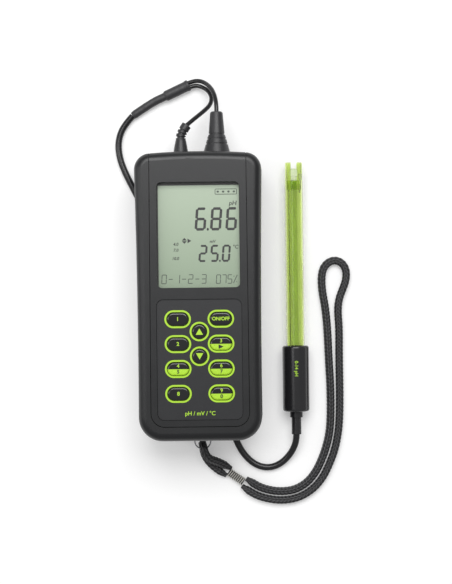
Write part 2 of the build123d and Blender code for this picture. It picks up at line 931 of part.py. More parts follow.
bnc_end_y = panel_face_y + bnc_reach
bnc_floor_y = bnc_end_y - 9.0
bnc_socket = rod(bnc_x, socket_z, panel_face_y - bnc_tail_length, panel_face_y, bnc_tail_radius)
bnc_socket += hexagon_bar(
    bnc_x, socket_z, panel_face_y, panel_face_y + bnc_flange_thickness, bnc_flange_radius
)
bnc_socket += rod(bnc_x, socket_z, panel_face_y, bnc_end_y, bnc_barrel_radius)
bnc_socket -= rod(bnc_x, socket_z, bnc_floor_y, bnc_end_y + 1, bnc_bore_radius)
bnc_socket += rod(bnc_x, socket_z, bnc_floor_y, bnc_end_y - 2.5, 2.0)
bnc_socket -= rod(bnc_x, socket_z, bnc_floor_y, bnc_end_y, 0.8)
lug_y = bnc_end_y - bnc_lug_setback
lug_length = 2 * (bnc_barrel_radius + bnc_lug_reach)
lug_core = Pos(bnc_x, lug_y, socket_z - lug_length / 2) * extrude(
    Circle(bnc_lug_radius), lug_length
)
bnc_socket += lug_core - rod(bnc_x, socket_z, lug_y - 3, lug_y + 3, bnc_barrel_radius - 0.4)
write_meter_piece("bnc_socket", bnc_socket)


def nut(x, radius):
    body = hexagon_bar(x, socket_z, panel_back_y - nut_thickness, panel_back_y, radius + nut_margin)
    return body - rod(x, socket_z, panel_back_y - 5, panel_back_y + 1, radius + 0.05)


phono_back_y = panel_face_y - phono_tail_length
phono_socket = rod(phono_x, socket_z, phono_back_y, panel_face_y, phono_housing_radius)
phono_socket += rod(
    phono_x, socket_z, panel_face_y, panel_face_y + 0.9, phono_housing_radius + 0.8
)
phono_socket -= rod(phono_x, socket_z, phono_back_y + 1.5, case_half, phono_hole_radius)
phono_socket += rod(
    phono_x, socket_z, phono_back_y, panel_face_y - 1.8, phono_barrel_radius
)
phono_socket -= rod(phono_x, socket_z, phono_back_y + 1.0, case_half, 1.75)
write_meter_piece("phono_socket", phono_socket)
nuts = [nut(bnc_x, bnc_tail_radius), nut(phono_x, phono_housing_radius)]
write_meter_piece("socket_nuts", *nuts)

# BNC plug: body, coupling ring and boot, all turned about the socket's axis
boot_y = panel_face_y + boot_start
lead_radius = lead_diameter / 2
bnc_plug_start = bnc_floor_y + 0.5
sleeve_end = bnc_end_y + 0.6
neck_end = sleeve_end + 5.5
ferrule_end = neck_end + 5.0
bnc_plug = turned(
    bnc_x,
    socket_z,
    [
        (0, bnc_floor_y + 1.2),
        (0.65, bnc_floor_y + 1.2),
        (0.65, sleeve_end - 0.9),
        (2.4, sleeve_end - 0.9),
        (2.4, bnc_plug_start),
        (plug_sleeve_radius, bnc_plug_start),
        (plug_sleeve_radius, sleeve_end),
        (plug_neck_radius, sleeve_end),
        (plug_neck_radius, neck_end),
        (ferrule_radius, neck_end),
        (ferrule_radius, ferrule_end),
        (lead_radius + 0.05, ferrule_end),
        (lead_radius + 0.05, neck_end),
        (0, neck_end),
    ],
)
write_meter_piece("bnc_plug", bnc_plug)

ring_start = panel_face_y + coupling_start
ring_end = ring_start + coupling_length
bnc_coupling_ring = turned(
    bnc_x,
    socket_z,
    [
        (bnc_barrel_radius + running_gap, ring_start),
        (coupling_radius, ring_start),
        (coupling_radius, ring_end),
        (coupling_bore, ring_end),
        (coupling_bore, ring_start + coupling_lip),
        (bnc_barrel_radius + running_gap, ring_start + coupling_lip),
    ],
)
lug_notch = Pos(bnc_x, ring_start + coupling_lip / 2, socket_z) * Box(
    2 * coupling_bore, coupling_lip + 0.2, 2 * bnc_lug_radius + 0.8
)
bnc_coupling_ring -= lug_notch
write_meter_piece("bnc_coupling_ring", bnc_coupling_ring)


def boot_profile():
    """The boot's outer line from its wide end, with a groove at each of three stations."""
    half = boot_groove_width / 2
    points = []
    stations = list(zip(boot_radii, boot_stations))
    points.append((stations[0][0], boot_y))
    for radius, station in stations[1:4]:
        y = boot_y + station
        points.append((radius + 0.15, y - half))
        points.append((radius - boot_groove_depth, y - half))
        points.append((radius - boot_groove_depth, y + half))
        points.append((radius - 0.05, y + half))
    radius, station = stations[4]
    end_y = boot_y + station
    points.append((radius, end_y - boot_end_radius))
    points.append((radius - boot_end_radius, end_y))
    points.append((lead_radius + running_gap, end_y))
    points.append((lead_radius + running_gap, ferrule_end + running_gap))
    points.append((ferrule_radius + running_gap, ferrule_end + running_gap))
    points.append((ferrule_radius + running_gap, neck_end + running_gap))
    points.append((plug_neck_radius + running_gap, neck_end + running_gap))
    points.append((plug_neck_radius + running_gap, sleeve_end + running_gap))
    points.append((bnc_barrel_radius + running_gap, sleeve_end + running_gap))
    points.append((bnc_barrel_radius + running_gap, ring_end))
    points.append((coupling_radius, ring_end))
    points.append((coupling_radius, boot_y))
    return points


write_meter_piece("bnc_boot", turned(bnc_x, socket_z, boot_profile()))

# Phono plug and its moulded boot
phono_cone_y = panel_face_y + phono_cone_start
phono_neck_y = phono_cone_y + phono_cone_length
phono_plug = turned(
    phono_x,
    socket_z,
    [
        (0, phono_back_y + 1.4),
        (1.6, phono_back_y + 1.4),
        (1.6, panel_face_y - 1.5),
        (phono_shell_bore, panel_face_y - 1.5),
        (phono_shell_bore, phono_back_y + 2.2),
        (phono_shell_radius, phono_back_y + 2.2),
        (phono_shell_radius, phono_cone_y),
        (2.0, phono_cone_y),
        (2.0, phono_neck_y - 2.0),
        (0, phono_neck_y - 2.0),
    ],
)
write_meter_piece("phono_plug", phono_plug)

cone = turned(
    phono_x,
    socket_z,
    [
        (2.0, phono_cone_y),
        (phono_cone_base, phono_cone_y),
        (phono_cone_neck, phono_neck_y),
        (0, phono_neck_y),
        (0, phono_neck_y - 2.0),
        (2.0, phono_neck_y - 2.0),
    ],
)
cone = Pos(meter_x, meter_y, 0) * cone
relief_path = FilletPolyline(*relief_route, radius=relief_bend_radius)
relief_start = Plane(origin=relief_path @ 0, z_dir=relief_path % 0)
phono_boot = cone + sweep(relief_start * Circle(relief_core_radius), path=relief_path)
for ring in range(3):
    along = relief_path.length - relief_ring_width - ring * relief_ring_pitch
    place = along / relief_path.length
    seat = Plane(origin=relief_path @ place, z_dir=relief_path % place)
    phono_boot += extrude(seat * Circle(relief_ring_radius), relief_ring_width)
write("phono_boot", phono_boot)

# Leads and splice
write("bnc_lead", cord_tube("bnc_lead", bnc_lead_route, lead_diameter))
write("phono_lead", cord_tube("phono_lead", phono_lead_route, lead_diameter))
wide_path = Line(splice_start, splice_step)
wide_start = Plane(origin=wide_path @ 0, z_dir=wide_path % 0)
splice = extrude(wide_start * Circle(splice_wide_radius), wide_path.length)
narrow_path = FilletPolyline(
    splice_step, splice_bend, splice_end, radius=splice_bend_radius
)
narrow_start = Plane(origin=narrow_path @ 0, z_dir=narrow_path % 0)
splice += sweep(narrow_start * Circle(splice_narrow_radius), path=narrow_path)
write("lead_splice", splice)

# Electrode cable: into the coil under the meter, the coil, and out to the electrode
coil_centre = Vector(meter_x, meter_y + coil_y, 0)
coil_half_width = coil_columns * cable_diameter / 2
coil_height = coil_layers * cable_diameter
coil_outer_turn = coil_radius + coil_half_width - cable_diameter / 2


def coil_point(angle, layer_z):
    """A point on the coil's outer turn."""
    turn = math.radians(angle)
    x = coil_centre.X + coil_outer_turn * math.cos(turn)
    y = coil_centre.Y + coil_outer_turn * math.sin(turn)
    return (x, y, layer_z)


coil_low_z = coil_lift + cable_diameter / 2
coil_high_z = coil_low_z + (coil_layers - 1) * cable_diameter
cable_upper_route = cable_upper_start + [coil_point(coil_entry_angle, coil_high_z)]
cable_lower_route = [coil_point(coil_exit_angle, coil_low_z)] + cable_lower_end
write(
    "probe_cable_upper", cord_tube("probe_cable_upper", cable_upper_route, cable_diameter)
)
write(
    "probe_cable_lower", cord_tube("probe_cable_lower", cable_lower_route, cable_diameter)
)
coil_section = Plane.XZ * Pos(coil_radius, coil_lift + coil_height / 2) * RectangleRounded(
    2 * coil_half_width, coil_height, cable_diameter * 0.45
)
coil = Pos(coil_centre) * revolve(coil_section, Axis.Z)
write("probe_cable_coil", coil)
tie_outer = Plane.XZ * Pos(coil_radius, coil_lift + coil_height / 2) * RectangleRounded(
    2 * (coil_half_width + tie_thickness),
    coil_height + 2 * tie_thickness,
    cable_diameter * 0.45 + tie_thickness,
)
tie_arc = math.degrees(tie_width / coil_radius)
cable_tie = revolve(tie_outer - coil_section, Axis.Z, tie_arc)
write("cable_tie", Pos(coil_centre) * Rot(0, 0, tie_angle) * cable_tie)
turns = coil_columns * coil_layers + (coil_exit_angle - coil_entry_angle) / 360
print("coil length", round(2 * math.pi * coil_radius * turns, 1))

# Electrode
handle_back_y = handle_front_y - handle_length
handle = rod(probe_x, handle_radius, handle_back_y, handle_front_y, handle_radius)
handle = fillet(handle.edges().filter_by(GeomType.CIRCLE), handle_edge_radius)
handle -= rod(
    probe_x,
    handle_radius,
    handle_front_y - tube_depth,
    handle_front_y + 1,
    tube_spigot_radius + 0.05,
)
handle_bore = handle_radius - handle_wall - 2
handle -= rod(
    probe_x,
    handle_radius,
    handle_back_y + collar_length,
    handle_front_y - tube_depth + 1,
    handle_bore,
)
handle -= rod(probe_x, handle_radius, handle_back_y - 1, handle_back_y + 10, relief_radius + 0.05)
write("probe_handle", handle)

tube_end_y = tube_shoulder_y + guard_length
tube_start_y = handle_front_y - tube_depth
tube_seat_y = handle_front_y + tube_spigot_reach
tube = rod(probe_x, handle_radius, tube_seat_y, tube_end_y, tube_radius)
tube += rod(probe_x, handle_radius, tube_start_y, tube_seat_y, tube_spigot_radius)
tube -= rod(probe_x, handle_radius, tube_start_y - 1, tube_end_y + 1, tube_radius - tube_wall)
slot_y = tube_shoulder_y + guard_length / 2 + 0.5
for slot in (
    Box(guard_slot, guard_length + 1, 3 * tube_radius),
    Box(3 * tube_radius, guard_length + 1, guard_slot),
):
    tube -= Pos(probe_x, slot_y, handle_radius) * slot
write("probe_tube", tube)

bulb_tip_y = tube_end_y - bulb_setback
stem_start_y = tube_start_y + 8.0
bulb_y = bulb_tip_y - bulb_radius
stem = rod(probe_x, handle_radius, stem_start_y, bulb_y, stem_radius)
stem += Pos(probe_x, bulb_y, handle_radius) * Sphere(bulb_radius)
write("probe_glass", stem)

stopper_start_y = tube_shoulder_y - stopper_length
stopper = rod(
    probe_x, handle_radius, stopper_start_y, tube_shoulder_y, tube_radius - tube_wall - 0.05
)
stopper -= rod(
    probe_x, handle_radius, stopper_start_y - 1, tube_shoulder_y + 1, stem_radius + 0.05
)
pin_x = probe_x + redox_pin_offset
stopper -= rod(pin_x, handle_radius, stopper_start_y - 1, tube_shoulder_y + 1, redox_pin_radius + 0.05)
redox_pin = rod(
    pin_x,
    handle_radius,
    stopper_start_y - 2,
    tube_shoulder_y + redox_pin_reach,
    redox_pin_radius,
)
write("redox_pin", redox_pin)
reference_wire = rod(
    probe_x - wire_offset, handle_radius, stem_start_y, stopper_start_y, wire_radius
)
core_start_y = stem_start_y - 6.0
core = rod(
    probe_x, handle_radius, core_start_y, stem_start_y, tube_radius - tube_wall - 0.05
)
write("reference_wire", reference_wire)
write("probe_stoppers", stopper, core)

gland = rod(
    probe_x, handle_radius, handle_back_y - collar_length, handle_back_y, collar_radius
)
gland += rod(
    probe_x, handle_radius, handle_back_y - collar_length - relief_length, handle_back_y, relief_radius
)
gland += rod(probe_x, handle_radius, handle_back_y, handle_back_y + 9.5, relief_radius)
gland_end_y = handle_back_y - collar_length - relief_length
gland -= rod(
    probe_x,
    handle_radius,
    gland_end_y - 1,
    gland_end_y + gland_cable_depth,
    cable_diameter / 2 + gland_bore_gap,
)
write("probe_gland", gland)

# Wrist strap
split_ring = Torus(ring_radius, ring_wire_radius)
write("strap_ring", Pos(*ring_centre) * Rot(ring_tilt, 0, 0) * split_ring)
write("strap_eye", cord_tube("strap_eye", eye_route, strap_diameter))
write("strap_loop", cord_tube("strap_loop", loop_route, strap_diameter))
binding_path = Line(binding_start, binding_end)
binding_seat = Plane(
    origin=binding_start, x_dir=(Vector(0, 0, 1)), z_dir=binding_path % 0
)
binding = extrude(
    binding_seat * Ellipse(strap_floor, binding_half_width), binding_path.length
)
write("strap_binding", binding)
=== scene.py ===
import math

import bmesh
import bpy
from mathutils import Matrix, Vector, noise


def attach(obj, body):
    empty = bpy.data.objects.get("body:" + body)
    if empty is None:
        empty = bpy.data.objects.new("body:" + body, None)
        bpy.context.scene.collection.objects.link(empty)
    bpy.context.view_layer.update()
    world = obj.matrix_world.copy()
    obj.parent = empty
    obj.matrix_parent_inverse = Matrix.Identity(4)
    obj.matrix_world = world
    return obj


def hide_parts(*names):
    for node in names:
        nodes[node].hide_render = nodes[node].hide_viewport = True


# A handheld pH and redox meter with its electrode and wrist strap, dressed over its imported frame.
# Sizes are in millimetres and become metres where they reach Blender. x runs to the right, y to
# the connector end and z up from the floor.

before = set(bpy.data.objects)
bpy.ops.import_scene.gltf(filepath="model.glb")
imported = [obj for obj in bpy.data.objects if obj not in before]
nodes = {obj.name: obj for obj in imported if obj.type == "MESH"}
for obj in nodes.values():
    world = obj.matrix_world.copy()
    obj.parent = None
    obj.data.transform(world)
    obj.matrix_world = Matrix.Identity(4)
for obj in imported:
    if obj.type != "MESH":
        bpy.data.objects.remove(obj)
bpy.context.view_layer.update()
scene = bpy.context.scene
mm = 0.001

# Camera
# A long lens straight above the middle of the group, a little over a metre up, turned a hair
# so that the meter leans to the left as it does in the photograph.
camera_height = 1100
camera_x = 2.35
camera_y = -2.35
camera_lean = 0.69
camera_lens = 99.2
camera_sensor = 36
camera_data = bpy.data.cameras.new("camera")
camera_data.sensor_fit = "VERTICAL"
camera_data.sensor_height = camera_sensor
camera_data.lens = camera_lens
camera_data.clip_end = 20
camera = bpy.data.objects.new("camera", camera_data)
camera.location = (camera_x * mm, camera_y * mm, camera_height * mm)
camera.rotation_euler = (0, 0, math.radians(-camera_lean))
scene.collection.objects.link(camera)
scene.camera = camera
scene.view_settings.view_transform = "Standard"

# Electrode cable
# One black vinyl cable, smooth and a little shiny. It comes out of the shrink sleeve, runs under
# the meter into a neat tied coil there, and runs on from the coil to the electrode's gland. The
# coil has four layers, each a radius and a height, and its angles are in degrees.
cable_diameter = 4.5
coil_x = -15.35
coil_y = 9.25
coil_enter_angle = 183
coil_leave_angle = 206
coil_step_angle = 15
coil_shift_angle = 60
coil_layers = [(28.25, 7.55), (23.75, 7.55), (23.75, 3.05), (28.25, 3.05)]
cable_start = [
    (-59.8, 118.4, 2.9),
    (-64.5, 113.4, 2.3),
    (-68.5, 106.6, 2.25),
    (-70.1, 98.0, 2.25),
    (-68.6, 88.0, 2.25),
    (-64.7, 78.2, 2.25),
    (-59.2, 67.4, 2.25),
    (-51.6, 52.0, 2.25),
    (-46.2, 36.6, 2.9),
    (-44.6, 22.4, 7.55),
]
cable_end = [
    (-31.4, -22.4, 2.5),
    (-21.4, -44.4, 2.25),
    (-11.6, -62.6, 2.25),
    (-0.6, -84.2, 2.25),
    (5.6, -96.6, 2.25),
    (9.0, -105.6, 2.25),
    (12.6, -112.2, 2.25),
    (18.0, -118.2, 2.25),
    (24.6, -121.9, 2.25),
    (31.8, -122.4, 2.25),
    (38.6, -119.6, 2.6),
    (44.0, -114.2, 4.2),
    (47.3, -108.6, 6.6),
    (49.05, -102.4, 9.0),
    (49.05, -96.0, 9.0),
]


def coil_winding():
    """The turns of the coil, each one on its own layer, with a short step from layer to layer."""
    points = []
    last_angle = coil_leave_angle + 360 * len(coil_layers)
    for angle in range(coil_enter_angle, last_angle + 1, coil_step_angle):
        turn = (angle - coil_enter_angle) / 360
        layer = min(int(turn), len(coil_layers) - 1)
        radius, height = coil_layers[layer]
        into = min(1, (turn - layer) * 360 / coil_shift_angle)
        if layer > 0 and into < 1:
            before_radius, before_height = coil_layers[layer - 1]
            radius = before_radius + (radius - before_radius) * into
            height = before_height + (height - before_height) * into
        turned = math.radians(angle)
        x = coil_x + radius * math.cos(turned)
        y = coil_y + radius * math.sin(turned)
        points.append((x, y, height))
    return points


def metres(point):
    """A point in millimetres, in metres."""
    return tuple(value * mm for value in point)


def smooth_cord(name, points, diameter):
    """A cord on one smooth line, as a curve with the route's points as its control points."""
    curve = bpy.data.curves.new(name, "CURVE")
    curve.dimensions = "3D"
    spline = curve.splines.new("NURBS")
    spline.points.add(len(points) - 1)
    for point, place in zip(spline.points, points):
        point.co = (*metres(place), 1)
    spline.order_u = 3
    spline.use_endpoint_u = True
    spline.resolution_u = 10
    curve.bevel_depth = diameter / 2 * mm
    curve.bevel_resolution = 6
    curve.use_fill_caps = True
    cord = bpy.data.objects.new(name, curve)
    scene.collection.objects.link(cord)
    return cord


def screen_colour(red, green, blue):
    """A colour in the 0 to 255 values of a screen, as linear light."""
    light = []
    for value in (red, green, blue):
        part = value / 255
        light.append(part / 12.92 if part <= 0.04045 else ((part + 0.055) / 1.055) ** 2.4)
    return (*light, 1)


def new_material(name):
    """A material, its node tree and its main shader."""
    material = bpy.data.materials.new(name)
    material.use_nodes = True
    tree = material.node_tree
    return material, tree, tree.nodes["Principled BSDF"]


def add_node(tree, kind, **values):
    """A new node with values on its inputs; an underscore in an input's name is a space."""
    node = tree.nodes.new("ShaderNode" + kind)
    for entry, value in values.items():
        node.inputs[entry.replace("_", " ")].default_value = value
    return node


drift_grains = 30
roughness_drift = 0.05
grain_strength = 0.5
coat_roughness = 0.12


def grained_finish(name, colour, roughness, grain, relief, mottle=0.1, metallic=0.0, coat=0.0):
    """A moulded or drawn surface: a fine grain in its relief, and a little drift in its colour.

    The grain's size and its relief are in millimetres, and mottle is the share of the drift.
    """
    material, tree, shader = new_material(name)
    link = tree.links.new
    shader.inputs["Metallic"].default_value = metallic
    shader.inputs["Coat Weight"].default_value = coat
    shader.inputs["Coat Roughness"].default_value = coat_roughness
    place = add_node(tree, "TexCoord")
    fine = add_node(tree, "TexNoise", Scale=1 / (grain * mm), Detail=3)
    broad = add_node(tree, "TexNoise", Scale=1 / (drift_grains * grain * mm), Detail=4)
    link(place.outputs["Object"], fine.inputs["Vector"])
    link(place.outputs["Object"], broad.inputs["Vector"])
    tint = add_node(tree, "Mix")
    tint.data_type = "RGBA"
    tint.inputs["A"].default_value = tuple(value * (1 - mottle) for value in colour[:3]) + (1,)
    tint.inputs["B"].default_value = tuple(value * (1 + mottle) for value in colour[:3]) + (1,)
    link(broad.outputs["Fac"], tint.inputs["Factor"])
    link(tint.outputs["Result"], shader.inputs["Base Color"])
    wear = add_node(tree, "MapRange")
    wear.inputs["To Min"].default_value = roughness - roughness_drift
    wear.inputs["To Max"].default_value = roughness + roughness_drift
    link(broad.outputs["Fac"], wear.inputs["Value"])
    link(wear.outputs["Result"], shader.inputs["Roughness"])
    bump = add_node(tree, "Bump", Strength=grain_strength, Distance=relief * mm)
    link(fine.outputs["Fac"], bump.inputs["Height"])
    link(bump.outputs["Normal"], shader.inputs["Normal"])
    return material


def dress(material, *names):
    """Gives CAD nodes their finish."""
    for name in names:
        for slot in nodes[name].material_slots:
            slot.material = material


cable_vinyl = grained_finish(
    "cable_vinyl", screen_colour(24, 24, 26), roughness=0.28, grain=0.5, relief=0.02
)
cable = smooth_cord("electrode_cable", cable_start + coil_winding() + cable_end, cable_diameter)
cable.data.materials.append(cable_vinyl)
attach(cable, "meter")
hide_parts("probe_cable_upper", "probe_cable_coil", "probe_cable_lower")
dress(cable_vinyl, "cable_tie")

# Plug leads
# Two thin vinyl leads, one from each plug. They hang down from the sockets' height to the floor
# and meet side by side in the mouth of the shrink sleeve.
lead_diameter = 2.9
bnc_lead_route = [
    (-2.65, 108.5, 25.0),
    (-2.65, 115.5, 25.0),
    (-2.5, 122.5, 24.6),
    (-3.6, 129.8, 20.4),
    (-6.4, 136.0, 14.6),
    (-11.6, 140.7, 8.2),
    (-17.4, 141.9, 4.4),
    (-22.3, 140.0, 4.0),
]
phono_lead_route = [
    (-22.6, 109.4, 24.6),
    (-18.0, 113.6, 21.8),
    (-11.4, 119.2, 17.0),
    (-6.6, 124.2, 12.9),
    (-5.6, 129.8, 9.4),
    (-8.0, 134.6, 6.6),
    (-12.6, 137.6, 4.6),
    (-17.0, 138.6, 4.0),
    (-21.0, 137.2, 4.0),
]
for lead_name, route in (("bnc_plug_lead", bnc_lead_route), ("phono_plug_lead", phono_lead_route)):
    lead = smooth_cord(lead_name, route, lead_diameter)
    lead.data.materials.append(cable_vinyl)
    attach(lead, "meter")
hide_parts("bnc_lead")
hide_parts("phono_lead")

# Shrink sleeve
# A black heat-shrink sleeve over the joint of the two leads and the cable. It is wide over the
# two leads, steps down past the joint, and is a little lumpy over what it holds.
sleeve_route = [
    (-21.2, 138.9, 4.0),
    (-36.4, 131.7, 3.9),
    (-46.9, 127.2, 3.5),
    (-59.8, 118.4, 2.9),
]
sleeve_pitch = 0.35
sleeve_sides = 32
sleeve_wide = 3.55
sleeve_narrow = 2.75
sleeve_step_at = 17.0
sleeve_step = 1.6
sleeve_taper_at = 41.5
sleeve_taper = 3.0
sleeve_mouth = 2.35
sleeve_rim = 0.25
sleeve_rim_span = (0.3, 1.8)
sleeve_ripple = 0.12
sleeve_ripples_per_mm = 0.35
sleeve_swell = 0.16
sleeve_swell_size = 3.2


def line_points(cord):
    """The points along a cord's smooth line, read from its spline."""
    thickness = cord.data.bevel_depth
    cord.data.bevel_depth = 0
    bpy.context.view_layer.update()
    line = bpy.data.meshes.new_from_object(cord)
    points = [vertex.co.copy() for vertex in line.vertices]
    bpy.data.meshes.remove(line)
    cord.data.bevel_depth = thickness
    return points


def even_points(line, step):
    """Points a fixed step apart along a line of points."""
    points = [line[0].copy()]
    spare = 0.0
    for here, after in zip(line, line[1:]):
        run = (after - here).length
        along = step - spare
        while along <= run:
            points.append(here.lerp(after, along / run))
            along += step
        spare = run - (along - step)
    return points


def swept_tube(name, points, radii, sides):
    """A round mesh tube along points in metres, with a radius in millimetres at each.

    Its vertices run ring by ring from the first point to the last.
    """
    curve = bpy.data.curves.new(name, "CURVE")
    curve.dimensions = "3D"
    curve.twist_mode = "MINIMUM"
    spline = curve.splines.new("POLY")
    spline.points.add(len(points) - 1)
    for point, place, radius in zip(spline.points, points, radii):
        point.co = (*place, 1)
        point.radius = radius
    curve.bevel_depth = mm
    curve.bevel_resolution = (sides - 4) // 2
    curve.use_fill_caps = True
    drawn = bpy.data.objects.new(name, curve)
    scene.collection.objects.link(drawn)
    bpy.context.view_layer.update()
    mesh = bpy.data.meshes.new_from_object(drawn)
    bpy.data.objects.remove(drawn)
    for polygon in mesh.polygons:
        polygon.use_smooth = True
    tube = bpy.data.objects.new(name, mesh)
    scene.collection.objects.link(tube)
    return tube


def sleeve_radius(along):
    """The sleeve's radius at a distance from its wide end."""
    step = min(1, max(0, (along - sleeve_step_at) / sleeve_step))
    radius = sleeve_wide + (sleeve_narrow - sleeve_wide) * step * step * (3 - 2 * step)
    rim = sleeve_rim if sleeve_rim_span[0] < along < sleeve_rim_span[1] else 0.0
    end = min(1, max(0, (along - sleeve_taper_at) / sleeve_taper))
    radius += (sleeve_mouth - radius) * end
    ripple = sleeve_ripple * noise.noise(Vector((along * sleeve_ripples_per_mm, 0, 0)))
    return radius + rim + ripple * (1 - end)


sleeve_guide = smooth_cord("sleeve_guide", sleeve_route, 1)
sleeve_line = even_points(line_points(sleeve_guide), sleeve_pitch * mm)
bpy.data.objects.remove(sleeve_guide)
sleeve_radii = [sleeve_radius(index * sleeve_pitch) for index in range(len(sleeve_line))]
sleeve = swept_tube("shrink_sleeve", sleeve_line, sleeve_radii, sleeve_sides)
for vertex in sleeve.data.vertices:
    swell = sleeve_swell * noise.noise(vertex.co / (sleeve_swell_size * mm))
    vertex.co.z += swell * mm
sleeve_skin = grained_finish(
    "sleeve_skin", screen_colour(50, 50, 52), roughness=0.5, grain=0.35, relief=0.05, mottle=0.18
)
sleeve.data.materials.append(sleeve_skin)
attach(sleeve, "meter")
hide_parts("lead_splice")

# Wrist strap
# A round cord of black polyester, plaited in eight columns of slanting stitches. One length is
# folded through the split ring as an eye, and a long one makes the loop for the hand.
strap_diameter = 5.6
strap_columns = 8
stitch_pitch = 2.6
stitch_height = 0.62
stitch_slant = 1.15
strap_step = 0.29
strap_sides = 48
strap_end_radius = 1.7
strap_end_taper = 6
eye_route = [
    (1.2, -127.4, 2.8),
    (-6.2, -122.8, 2.8),
    (-13.6, -114.7, 2.8),
    (-15.0, -105.0, 2.8),
    (-14.6, -105.0, 13.7),
    (-12.0, -114.5, 12.4),
    (-3.4, -117.8, 6.5),
    (4.4, -122.6, 2.8),
]
loop_route = [
    (14.7, -129.6, 2.8),
    (21.6, -134.9, 2.8),
    (31.0, -138.0, 2.8),
    (39.6, -138.8, 2.8),
    (48.2, -137.5, 2.8),
    (56.0, -133.0, 2.8),
    (61.7, -126.3, 2.8),
    (65.9, -118.2, 2.8),
    (69.3, -109.2, 2.8),
    (71.7, -99.4, 2.8),
    (72.7, -88.6, 2.8),
    (72.8, -68.0, 2.8),
    (71.8, -48.2, 2.8),
    (71.2, -29.1, 2.8),
    (69.9, -13.8, 2.8),
    (68.0, -3.5, 2.8),
    (67.4, 5.0, 2.8),
    (68.2, 11.5, 2.8),
    (70.6, 15.7, 2.8),
    (74.6, 18.2, 2.8),
    (79.0, 18.1, 2.8),
    (82.7, 15.4, 2.8),
    (84.6, 10.8, 2.8),
    (84.2, 4.6, 2.8),
    (82.0, -1.2, 2.8),
    (79.4, -7.6, 2.8),
    (78.3, -15.5, 2.8),
    (79.2, -27.5, 2.8),
    (78.9, -48.0, 2.8),
    (79.1, -68.0, 2.8),
    (78.8, -88.0, 2.8),
    (77.7, -99.6, 2.8),
    (75.2, -111.0, 2.8),
    (71.4, -120.6, 2.8),
    (66.8, -129.8, 2.8),
    (59.8, -137.7, 2.8),
    (50.2, -143.2, 2.8),
    (39.8, -144.9, 2.8),
    (29.8, -143.9, 2.8),
    (18.8, -140.3, 2.8),
    (11.5, -134.4, 2.8),
]


def stitch_rise(around, along):
    """How high a stitch stands, 0 to 1, at a place in columns around and stitches along."""
    column = math.floor(around)
    across = around - column - 0.5
    lean = 1 if column % 2 else -1
    phase = along + lean * across * stitch_slant
    within = phase - math.floor(phase) - 0.5
    length_arch = 1 - (2 * within) ** 2
    width_arch = 1 - (2 * across) ** 2
    return math.sqrt(max(0, length_arch * width_arch))


def plaited_strap(name, route):
    """A cord of plaited stitches that thins where its ends go under the binding."""
    guide = smooth_cord(name + "_guide", route, 1)
    line = line_points(guide)
    bpy.data.objects.remove(guide)
    points = even_points(line, strap_step * mm)
    count = len(points)
    core = strap_diameter / 2 - stitch_height
    thin = strap_end_radius / (strap_diameter / 2)
    scales = []
    for index in range(count):
        from_end = min(index, count - 1 - index) * strap_step
        blend = min(1, from_end / strap_end_taper)
        scales.append(thin + (1 - thin) * blend * blend * (3 - 2 * blend))
    strap = swept_tube(name, points, [core * scale for scale in scales], strap_sides)
    mesh = strap.data
    # Each vertex keeps its stitch's height, which the strap's colour turns into painted shade in
    # the grooves and a painted sheen on the crests.
    rise = mesh.attributes.new("stitch", "FLOAT", "POINT")
    for index in range(count):
        first = index * strap_sides
        ring = [mesh.vertices[first + side] for side in range(strap_sides)]
        centre = sum((vertex.co for vertex in ring), Vector()) / strap_sides
        for side, vertex in enumerate(ring):
            around = side / strap_sides * strap_columns
            height = stitch_rise(around, index * strap_step / stitch_pitch)
            outward = (vertex.co - centre).normalized()
            vertex.co += outward * height * stitch_height * scales[index] * mm
            rise.data[first + side].value = height
    return strap, line


# The cord's colour follows each stitch's height: painted shade in the grooves between the stitches
# and a painted sheen on their crests.
groove_painted_shade = screen_colour(3, 3, 4)
crest_painted_sheen = screen_colour(66, 66, 69)
fibre_size = 0.3
fibre_relief = 0.08
groove_shade_and_crest_sheen = ((0.45, groove_painted_shade), (0.98, crest_painted_sheen))
strap_fibre, fibre_tree, fibre = new_material("strap_fibre")
fibre_link = fibre_tree.links.new
fibre.inputs["Roughness"].default_value = 0.5
fibre.inputs["Sheen Weight"].default_value = 0.25
fibre.inputs["Sheen Roughness"].default_value = 0.4
stitch_value = add_node(fibre_tree, "Attribute")
stitch_value.attribute_name = "stitch"
stitch_painted_shade = add_node(fibre_tree, "ValToRGB")
for stop, (position, shade) in zip(stitch_painted_shade.color_ramp.elements, groove_shade_and_crest_sheen):
    stop.position = position
    stop.color = shade
fibre_link(stitch_value.outputs["Fac"], stitch_painted_shade.inputs["Fac"])
fibre_link(stitch_painted_shade.outputs["Color"], fibre.inputs["Base Color"])
thread_place = add_node(fibre_tree, "TexCoord")
thread_noise = add_node(fibre_tree, "TexNoise", Scale=1 / (fibre_size * mm), Detail=2)
thread_bump = add_node(fibre_tree, "Bump", Strength=grain_strength, Distance=fibre_relief * mm)
fibre_link(thread_place.outputs["Object"], thread_noise.inputs["Vector"])
fibre_link(thread_noise.outputs["Fac"], thread_bump.inputs["Height"])
fibre_link(thread_bump.outputs["Normal"], fibre.inputs["Normal"])

strap_loop, loop_line = plaited_strap("strap_hand_loop", loop_route)
strap_eye, eye_line = plaited_strap("strap_ring_eye", eye_route)
for strap, replaced in ((strap_loop, "strap_loop"), (strap_eye, "strap_eye")):
    strap.data.materials.append(strap_fibre)
    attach(strap, "meter")
    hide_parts(replaced)

# Strap binding
# A tight wrapping of pale waxed thread that holds the four cord ends together, over a flat core
# of the cords themselves.
binding_start = Vector((2.8, -125.0, 2.8))
binding_end = Vector((13.1, -132.0, 2.8))
binding_half_width = 2.85
binding_half_height = 2.5
thread_diameter = 0.65
thread_turns = 8
thread_points = 12
thread_inset = 0.04
core_radius = 2.35
core_pitch = 0.5
core_sides = 24


